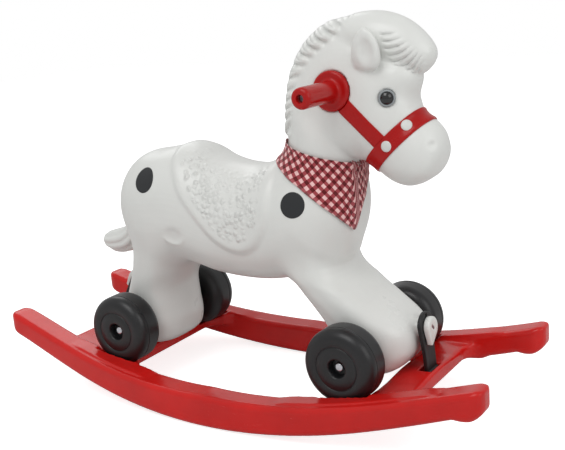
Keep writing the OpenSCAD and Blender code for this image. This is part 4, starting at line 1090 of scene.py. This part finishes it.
class RH_OT_bridle(bpy.types.Operator):
    """Lay the noseband and cheek straps on the head and set their rivets"""
    bl_idname = "rocking_horse.bridle"
    bl_label = "Bridle"

    def execute(self, context):
        self.noseband(context.scene.rocking_horse.noseband_width / MM / 2)
        for s, side in ((-1, "right"), (1, "left")):
            self.cheek(s, side, context.scene.rocking_horse.cheek_width / MM / 2)
        where = []
        for x, z in ((279.5, 420), (255, 394)):
            for s in (-1, 1):
                p, n = landed(*from_side(x, z, s))
                where.append((p + n * 2.1, n))
        profile = [(0, -.6), (7.3, -.6), (7.5, -.2), (7.5, .5), (7.2, 1.0), (6.4, 1.5), (5, 1.9), (3, 2.2),
                   (0, 2.3)]
        mesh = heads("bridle_studs", where, profile, "stud")
        finished("bridle_studs", mesh, "stud", "horse", ["bridle_rivets"], 60)
        return {"FINISHED"}

    def noseband(self, half):
        along, side = line_between(BAND_TOP, BAND_LOW)
        centre = (BAND_TOP + BAND_LOW) / 2
        rays = []
        for a in np.linspace(0, 2 * np.pi, 144, endpoint=False):
            d = np.array((along[0] * math.cos(a), math.sin(a), along[1] * math.cos(a)))
            middles = [centre + side * w for w in np.linspace(-half, half, 13)]
            rays.append([(np.array((c[0], 0, c[1])) + d * 62, -d) for c in middles])
        mesh = strip("nose_strap", *laid(rays), .1, 2.2, .9, True)
        finished("nose_strap", mesh, "trim", "horse", ["noseband"], 40)

    def cheek(self, s, side, half):
        """A cheek strap, from the rim of the handle's flange to the noseband."""
        start, end, rim, length = np.array((HANDLE_X, HANDLE_Z)), np.array((252.0, 391.0)), 27.7, 93.6
        along, across = line_between(start, end)
        rays = []
        for share in np.arange(36) / 35:
            row = []
            for w in np.linspace(-half, half, 11):
                near = math.sqrt(rim ** 2 - w * w)
                x, z = start + along * (near + (length - near) * share) + across * w
                row.append(from_side(x, z, s))
            rays.append(row)
        name = f"{side}_cheek_band"
        mesh = strip(name, *laid(rays), .1, 2.1, .8, False)
        finished(name, mesh, "trim", "horse", [f"cheek_strap_{side}"], 40)


def film(name, x, z, s):
    """A round film on the skin, with a soft rim and a closed back just under it."""
    points, count = [], 48
    radii = (0, 4, 8, 12, 15, 16.6, 17.5, 17.8, 18)
    for r, lift in zip(radii, [.75] * 7 + [.6, .05]):
        for k in range(count if r else 1):
            a = 2 * math.pi * k / count
            p, n = landed(*from_side(x + r * math.cos(a), z + r * math.sin(a), s))
            points.append(p + n * lift)
    points += [p - (0, s * .8, 0) for p in points[-count:]]
    rings = [[1 + i * count + k % count for k in range(count + 1)] for i in range(len(radii))]
    faces = [(0, *pair) for pair in zip(rings[0], rings[0][1:])] + [rings[-1][:-1]]
    for a, b in zip(rings, rings[1:]):
        faces += [(a[k], b[k], b[k + 1], a[k + 1]) for k in range(count)]
    return out_facing(mesh_of(name, points, faces))


class RH_OT_spots(bpy.types.Operator):
    """Lay the round black spots on the hips and shoulders"""
    bl_idname = "rocking_horse.spots"
    bl_label = "Spots"

    def execute(self, context):
        for name, node, x, z in (("hip_dots", "hip_spots", -142, 338),
                                 ("shoulder_dots", "shoulder_spots", 124, 315)):
            mesh = joined(name, [film(name, x, z, s) for s in (-1, 1)])
            finished(name, mesh, "spot", "horse", [node], 50)
        return {"FINISHED"}


# ---------------------------------------------------------------- the bandana
NECK_AXIS_X = 138.0
KNOT = np.array((84.0, 40.0, 386.0))
KNOT_AT = 143.5  # the knot's place round the neck, in degrees
# x and z of the neckline, then degrees round the neck and z of the hem
TOP_EDGE = np.array([
    (70, 401), (88, 398), (98, 396), (128, 387), (150, 381), (170, 375), (186, 367), (196, 358)])
LOW_EDGE = np.array([
    (-216.5, 380), (-200, 379), (-180, 378), (-160, 371), (-140, 365), (-122, 358), (-97, 340), (-80, 321),
    (-48, 280), (-28, 263), (-22, 265), (-10, 290), (10, 316), (35, 340), (70, 351), (96, 353), (119, 362),
    (143.5, 380)])


def cloth_rows(count, across):
    """Rows on the skin, from the knot round the neck and back to it, each from the neckline to the hem."""
    rays = []
    for a in np.linspace(KNOT_AT - 8, KNOT_AT - 352, count):
        t = math.radians(a)
        d = np.array((math.cos(t), math.sin(t), 0))
        from_front = abs((a + 180) % 360 - 180)
        # close to the neck in front, so that the rays start below the jaw
        start = d * float(np.interp(from_front, (0, 28, 62, 180), (66, 68, 112, 118)))
        top = 375.0
        for _ in range(6):
            p, _n = landed(np.array((NECK_AXIS_X, 0, top)) + start, -d)
            top = .5 * top + .5 * float(np.interp(p[0], *TOP_EDGE.T))
        low = float(np.interp(a, *LOW_EDGE.T))
        heights = [top + (low - top) * k / (across - 1) for k in range(across)]
        rays.append([(np.array((NECK_AXIS_X, 0, z)) + start, -d) for z in heights])
    return laid(rays)


def softened(grid, times):
    """A grid of points evened out both ways, with its edges kept."""
    for _ in range(times):
        inner = (grid[:-2] + 2 * grid[1:-1] + grid[2:]) / 4
        grid = np.concatenate([grid[:1], inner, grid[-1:]])
        inner = (grid[:, :-2] + 2 * grid[:, 1:-1] + grid[:, 2:]) / 4
        grid = np.concatenate([grid[:, :1], inner, grid[:, -1:]], 1)
    return grid


def cloth_facing(p):
    """The way each point of a sheet faces."""
    n = np.cross(np.gradient(p, axis=0), np.gradient(p, axis=1))
    return n / np.maximum(np.linalg.norm(n, axis=2, keepdims=True), 1e-9)


def settled(points, frames):
    """The sheet after it has hung for a short while against the horse, held at the neckline and the knot."""
    n, m, _ = points.shape
    faces = [(i * m + j, (i + 1) * m + j, (i + 1) * m + j + 1, i * m + j + 1)
             for i in range(n - 1) for j in range(m - 1)]
    ob = bpy.data.objects.new("hanging_cloth", mesh_of("hanging_cloth", points.reshape(-1, 3), faces))
    collider = bpy.data.objects.new("cloth_rest", MADE["rest"])
    for o in (ob, collider):
        bpy.context.scene.collection.objects.link(o)
    held = ob.vertex_groups.new(name="held")
    for i in range(n):
        for j in range(m):
            firm = j == 0 or min(i, n - 1 - i) < 3
            held.add([i * m + j], 1.0 if firm else max(.3, .5 - j * .25), "REPLACE")
    collider.modifiers.new("rest", "COLLISION")
    collider.collision.thickness_outer = .0008
    collider.collision.cloth_friction = 25
    cloth = ob.modifiers.new("hang", "CLOTH")
    s = cloth.settings
    s.quality, s.mass, s.air_damping = 8, .15, 2.0
    s.tension_stiffness = s.compression_stiffness = 25
    s.shear_stiffness, s.bending_stiffness = 10, .08
    s.vertex_group_mass, s.pin_stiffness = "held", 1.0
    cloth.collision_settings.distance_min = .0012
    cloth.collision_settings.use_self_collision = False
    cloth.collision_settings.collision_quality = 4
    cloth.point_cache.frame_start, cloth.point_cache.frame_end = 1, frames
    scene = bpy.context.scene
    start = scene.frame_current
    for f in range(1, frames + 1):
        scene.frame_set(f)
    got = ob.evaluated_get(bpy.context.evaluated_depsgraph_get()).to_mesh()
    out = np.array([tuple(v.co) for v in got.vertices]) / MM
    for o in (ob, collider):
        bpy.data.objects.remove(o)
    scene.frame_set(start)
    return out.reshape(n, m, 3)


def mapped(mesh, flat, hem):
    """Give a cloth mesh its map in metres, and its hem, from values for each vertex."""
    layer = mesh.uv_layers.new(name="Cloth")
    index = np.empty(len(mesh.loops), int)
    mesh.loops.foreach_get("vertex_index", index)
    layer.data.foreach_set("uv", (flat * MM)[index].astype(np.float32).ravel())
    keep_values(mesh, "hem", hem)


class RH_OT_bandana(bpy.types.Operator):
    """Hang the gingham bandana round the neck and tie its knot"""
    bl_idname = "rocking_horse.bandana"
    bl_label = "Bandana"

    def execute(self, context):
        s = context.scene.rocking_horse
        sheet = self.draped(190, 30, s.fold_depth / MM)
        sheet = settled(sheet, s.settle_frames)
        sheet = softened(sheet, 1)
        facing = softened(cloth_facing(sheet), 1)
        facing *= np.sign(np.mean(np.sum(facing * (sheet - np.array((NECK_AXIS_X, 0, 340))), axis=2)))
        mesh = strip("neck_scarf", sheet, facing, 0, .9, .4, False, tidy=False)
        n, m, _ = sheet.shape
        steps = np.linalg.norm(np.diff(sheet[:, m // 3], axis=0), axis=1)
        along = np.concatenate([[0], np.cumsum(steps)])[:, None]
        steps = np.linalg.norm(np.diff(sheet, axis=1), axis=2)
        down = np.concatenate([np.zeros((n, 1)), np.cumsum(steps, axis=1)], 1)
        flat = np.stack([np.broadcast_to(along, (n, m)), down], 2)
        near = np.minimum(down[:, -1:] - down, np.minimum(along, along[-1] - along))
        hem = fall(near, 5.5, 1.2)
        # the sheet's face and then its back, which is numbered the other way across
        mapped(mesh, np.concatenate([flat, flat[:, ::-1]], 1).reshape(-1, 2),
               np.concatenate([hem, hem[:, ::-1]], 1).reshape(-1))
        out_facing(mesh)
        scarf = finished("neck_scarf", mesh, "cloth", "horse", ["bandana"])
        knot = self.knot()
        return {"FINISHED"}

    def draped(self, n, m, fold):
        """The sheet laid loosely on the skin, with folds, a rolled neckline and its ends in the knot."""
        rows, ways = cloth_rows(n, m)
        rows, ways = softened(rows, 2), softened(ways, 4)
        a, v = np.linspace(0, 1, n)[:, None], np.linspace(0, 1, m)[None, :]
        length = np.linalg.norm(rows[:, -1] - rows[:, 0], axis=1)[:, None]
        folds = np.sin(46 * a + 3 * np.sin(9 * a)) * .5 + np.sin(23 * a + 2.4 * v + 1) * .6
        folds = folds + np.sin(71 * a - 3 * v) * .25
        ends = np.clip(np.minimum(a, 1 - a) * 14, 0, 1)
        lift = 1.7 + fold * (1 + folds) * np.clip(length / 60, .25, 1) * (.25 + .75 * v) * (.4 + .6 * ends)
        creases = .45 + .55 * np.cos(2 * np.pi * (v / .115 + .35 * np.sin(7 * a) * v))
        roll = 2.4 * np.exp(-(v / .3) ** 2) * creases * (1 + .3 * np.sin(37 * a))
        sheet = rows + ways * (lift + roll)[..., None]
        gathered, pull = 16, .7
        for last, away in ((False, KNOT + (6, 2, 2)), (True, KNOT + (-4, -6, 2))):
            line = away[None] + np.linspace(6, -6, m)[:, None] * np.array((0, 0, 1))
            for i in range(gathered):
                k, w = n - 1 - i if last else i, (1 - i / gathered) ** 2
                sheet[k] = sheet[k] * (1 - pull * w) + line * pull * w
        return sheet

    def knot(self):
        """A wrapped knot with two short tails, on the horse's left."""
        g = Field((30, 10, 310), (130, 100, 420), 1.1, 10)
        place = Matrix.Translation(tuple(KNOT)) @ turned("Z", 125)
        rings = []
        for i in range(25):
            a = math.radians(-84 + i * 7)
            t = (np.arange(64) + .5) * 2 * np.pi / 64
            wrap = 1 - .07 * (.5 + .5 * np.cos(7 * t + 2.2 * math.sin(a * 1.5))) ** 2
            x, y = 14 * math.cos(a) * np.cos(t) * wrap + 9, 11 * math.cos(a) * np.sin(t) * wrap
            rings.append(np.array([tuple(place @ Vector((u, w, 12 * math.sin(a)))) for u, w in zip(x, y)]))
        f = g.of(loft(rings))
        u = np.linspace(-1, 1, 17)
        for side, lean in ((-1, -14), (1, 9)):
            spin = place @ turned("X", lean)
            rings = []
            for k in np.arange(22) / 21:
                out = 10 + 3 * k + 2.6 * np.sin(u * 2.6 + side + 2.5 * k) * (.3 + .7 * k)
                y = u * (5 + 9 * k ** .8) + side * (3 + 7 * k)
                z = 4 - 52 * k + 5 * (1 - np.abs(u - .3 * side)) * k
                ring = np.concatenate([np.stack([out + 1.1, y, z], 1), np.stack([out - 1.1, y, z], 1)[::-1]])
                rings.append(np.array([tuple(spin @ Vector(tuple(p))) for p in ring]))
            f = join(f, g.of(loft(rings)), 3)
        horse = MADE["horse_field"].read(MADE["horse_values"], g.spots()).reshape(g.shape)
        points, quads = g.mesh(cut(f, -(horse - .5), 1))
        mesh = quick_mesh("scarf_knot", points, quads)
        flat = np.stack([points[:, 0] * .57 - points[:, 1] * .82, points[:, 2]], 1)
        mapped(mesh, flat, np.zeros(len(points)))
        return finished("scarf_knot", mesh, "cloth", "horse", ["bandana_knot"])


# ---------------------------------------------------------------- straps and latches
class RH_OT_straps(bpy.types.Operator):
    """Cut the rubber straps and the teardrop latches that hold them"""
    bl_idname = "rocking_horse.straps"
    bl_label = "Straps and Latches"

    def execute(self, context):
        for key in STRAPS:
            finished(f"{key}_rubber_strap", self.strap(*STRAPS[key], on_pad(key)), "strap", f"{key}_strap",
                     [f"strap_{key}"], 40)
            finished(f"{key}_turn_latch", self.latch(STRAPS[key][0], on_pad(key)), "latch", f"{key}_latch",
                     [f"latch_{key}"], 40)
        return {"FINISHED"}

    def strap(self, s, x, z, lean, pin_z, pad):
        """A flat strap with a keyhole in its round head and an eye for its pin."""
        gap, thick, half, tilt = .3, 6, 15.5, math.radians(lean)
        middle = gap + thick / 2
        long = (z + math.sin(tilt) * middle - pin_z) / math.cos(tilt)
        pin_x = x + s * math.cos(tilt) * middle + s * long * math.sin(tilt)
        outline = arc(0, 0, 22, 105, 255, 39) + [(34, -half), (long - 1, -half), (long + 1, 1.5 - half),
                                                 (long + 1, half - 1.5), (long - 1, half), (34, half)]
        keyhole = [(-19.5, -2.6), (-19.5, 2.6), (-6.8, 3)]
        keyhole += arc(0, 0, 7.4, 156, -156, 39)[1:-1] + [(-6.8, -3)]
        body = plate("strap", [outline, keyhole], thick, 1.0, pad @ Matrix.Translation((0, 0, gap)))
        pin = Matrix.Translation((pin_x, 0, pin_z)) @ turned("X", 90)
        eye = lathe("eye", [(3.1, -16), (5.2, -16), (6, -15.2), (6, 15.2), (5.2, 16), (3.1, 16)], pin, 48)
        return joined("strap", [body, eye])

    def latch(self, s, pad):
        """A teardrop plate with a slot, on the post that it turns on."""
        place = pad @ turned("Z", -s * 20)
        drop = arc(0, 0, 15.2, 64, 296, 47) + arc(23.6, 0, 1.9, -64, 64, 9)
        slot = arc(3.4, 0, 1.7, -90, 90, 9) + arc(-3.4, 0, 1.7, 90, 270, 9)
        c, d = math.cos(math.radians(s * 65)), math.sin(math.radians(s * 65))
        hole = [(x * c - y * d, x * d + y * c) for x, y in slot]
        face = plate("latch", [drop, hole], 9, 2.2, place @ Matrix.Translation((0, 0, 6.6)))
        post = lathe("post", [(2.6, .3), (7, .3), (7, 7.4), (2.6, 7.4)], place, 48)
        return joined("latch", [face, post])


# ---------------------------------------------------------------- floor, lights and camera
def pale_floor():
    m, tree, shader = principled("pale floor")
    seen = put(tree, "ShaderNodeLightPath").outputs["Is Camera Ray"]
    dress(tree, shader, Base_Color=(.74, .74, .74, 1), Roughness=1.0, Specular_IOR_Level=0.0,
          Emission_Color=(1, 1, 1, 1), Emission_Strength=calc(tree, "MULTIPLY", seen, .78))
    mesh = bpy.data.meshes.new("floor")
    half, z = 6, -.001
    corners = [(-half, -half, z), (half, -half, z), (half, half, z), (-half, half, z)]
    mesh.from_pydata(corners, [], [(0, 1, 2, 3)])
    mesh.materials.append(m)
    return bpy.data.objects.new("floor", mesh)


def white_room():
    """A world that looks white and lights the horse less than it looks."""
    world = bpy.data.worlds.new("soft white room")
    world.use_nodes = True
    tree = world.node_tree
    path = put(tree, "ShaderNodeLightPath").outputs
    seen = calc(tree, "MAXIMUM", path["Is Camera Ray"], path["Is Transmission Ray"])
    dress(tree, tree.nodes["Background"], Color=(1, 1, 1, 1), Strength=remap(tree, seen, 0.0, 1.0, .61))
    return world


def lamp(name, at, size, power):
    light = bpy.data.lights.new(name, "AREA")
    light.size, light.energy = size, power
    ob = bpy.data.objects.new(name, light)
    ob.location = at
    ob.rotation_euler = (Vector((0, 0, .25)) - Vector(at)).to_track_quat("-Z", "Y").to_euler()
    return ob


def aimed_camera():
    """The camera, by its turn round the horse, its rise and its roll, and by what it aims at."""
    az, el, roll = (math.radians(a) for a in (33.37, 13.69, -4.35))
    aim, distance = Vector((.05361, 0, .2629)), 1.4198
    right = Vector((math.cos(az), math.sin(az), 0))
    back = Vector((math.sin(az) * math.cos(el), -math.cos(az) * math.cos(el), math.sin(el)))
    up = back.cross(right)
    right, up = right * math.cos(roll) + up * math.sin(roll), up * math.cos(roll) - right * math.sin(roll)
    camera = bpy.data.cameras.new("camera")
    camera.lens, camera.sensor_width, camera.clip_end = 60.43, 36, 30
    ob = bpy.data.objects.new("camera", camera)
    turn = Matrix((right, up, back)).transposed().to_4x4()
    ob.matrix_world = Matrix.Translation(aim + back * distance) @ turn
    return ob


class RH_OT_stage(bpy.types.Operator):
    """Set the pale floor, the soft lights and the camera"""
    bl_idname = "rocking_horse.stage"
    bl_label = "Stage"

    def execute(self, context):
        scene = context.scene
        scene.view_settings.view_transform = "Standard"
        scene.world = white_room()
        made = [pale_floor(), lamp("key light", (.1, -1.9, 2.9), 1.8, 29),
                lamp("side light", (2.4, -.6, 1.5), 1.6, 11), lamp("rear light", (-2.0, 1.6, 2.2), 1.6, 12),
                aimed_camera()]
        for ob in made:
            scene.collection.objects.link(ob)
        scene.camera = made[-1]
        return {"FINISHED"}


# ---------------------------------------------------------------- settings and panel
def colour(name, description, default):
    return FloatVectorProperty(name=name, description=description, default=default, subtype="COLOR_GAMMA",
                               size=3, min=0, max=1)


def length(name, description, default, low, high):
    return FloatProperty(name=name, description=description, default=default, unit="LENGTH",
                         min=low, max=high)


class RockingHorseSettings(bpy.types.PropertyGroup):
    horse_colour: colour("Horse", "Colour of the moulded horse", (.885, .89, .876))
    base_colour: colour("Rocker", "Colour of the rocker base", (.83, .11, .095))
    trim_colour: colour("Bridle and handles", "Colour of the bridle and handles", (.7, .06, .055))
    wheel_colour: colour("Wheels", "Colour of the wheels", (.105, .105, .113))
    cloth_dark: colour("Dark checks", "Darkest checks of the bandana", (.36, .03, .06))
    cloth_mid: colour("Mixed checks", "Half-tone checks of the bandana", (.65, .26, .29))
    cloth_pale: colour("Pale checks", "Palest checks of the bandana", (.97, .8, .79))
    check: length("Check size", "Width of one woven check", .0056, .003, .03)
    fold_depth: length("Fold depth", "How far the bandana's folds stand off", .0016, 0, .006)
    settle_frames: IntProperty(
        name="Settling", description="Frames for which the bandana hangs before it is kept",
        default=24, min=2, max=80)
    noseband_width: length("Noseband width", "Width of the noseband", .023, .015, .03)
    cheek_width: length("Cheek strap width", "Width of the cheek straps", .022, .012, .025)


STEPS = (RH_OT_base, RH_OT_horse, RH_OT_wheels, RH_OT_handles, RH_OT_eyes, RH_OT_bridle, RH_OT_spots,
         RH_OT_bandana, RH_OT_straps, RH_OT_fittings, RH_OT_stage)


class RH_PT_panel(bpy.types.Panel):
    """Settings of the rocking horse and the steps that make it"""
    bl_label = "Rocking Horse"
    bl_idname = "RH_PT_panel"
    bl_space_type = "VIEW_3D"
    bl_region_type = "UI"
    bl_category = "Rocking Horse"

    def draw(self, context):
        for name in RockingHorseSettings.__annotations__:
            self.layout.prop(context.scene.rocking_horse, name)
        for step in STEPS:
            self.layout.operator(step.bl_idname)


def register():
    for c in (RockingHorseSettings, *STEPS, RH_PT_panel):
        bpy.utils.register_class(c)
    bpy.types.Scene.rocking_horse = PointerProperty(type=RockingHorseSettings)


def unregister():
    del bpy.types.Scene.rocking_horse
    for c in reversed((RockingHorseSettings, *STEPS, RH_PT_panel)):
        bpy.utils.unregister_class(c)


def main():
    for name in ("Cube", "Light", "Camera"):  # the startup file's own objects
        if name in bpy.data.objects:
            bpy.data.objects.remove(bpy.data.objects[name])
    register()
    finishes()
    for step in STEPS:
        area, name = step.bl_idname.split(".")
        if getattr(getattr(bpy.ops, area), name)() != {"FINISHED"}:
            raise RuntimeError(step.bl_label + " didn't finish")


if __name__ == "__main__":
    main()
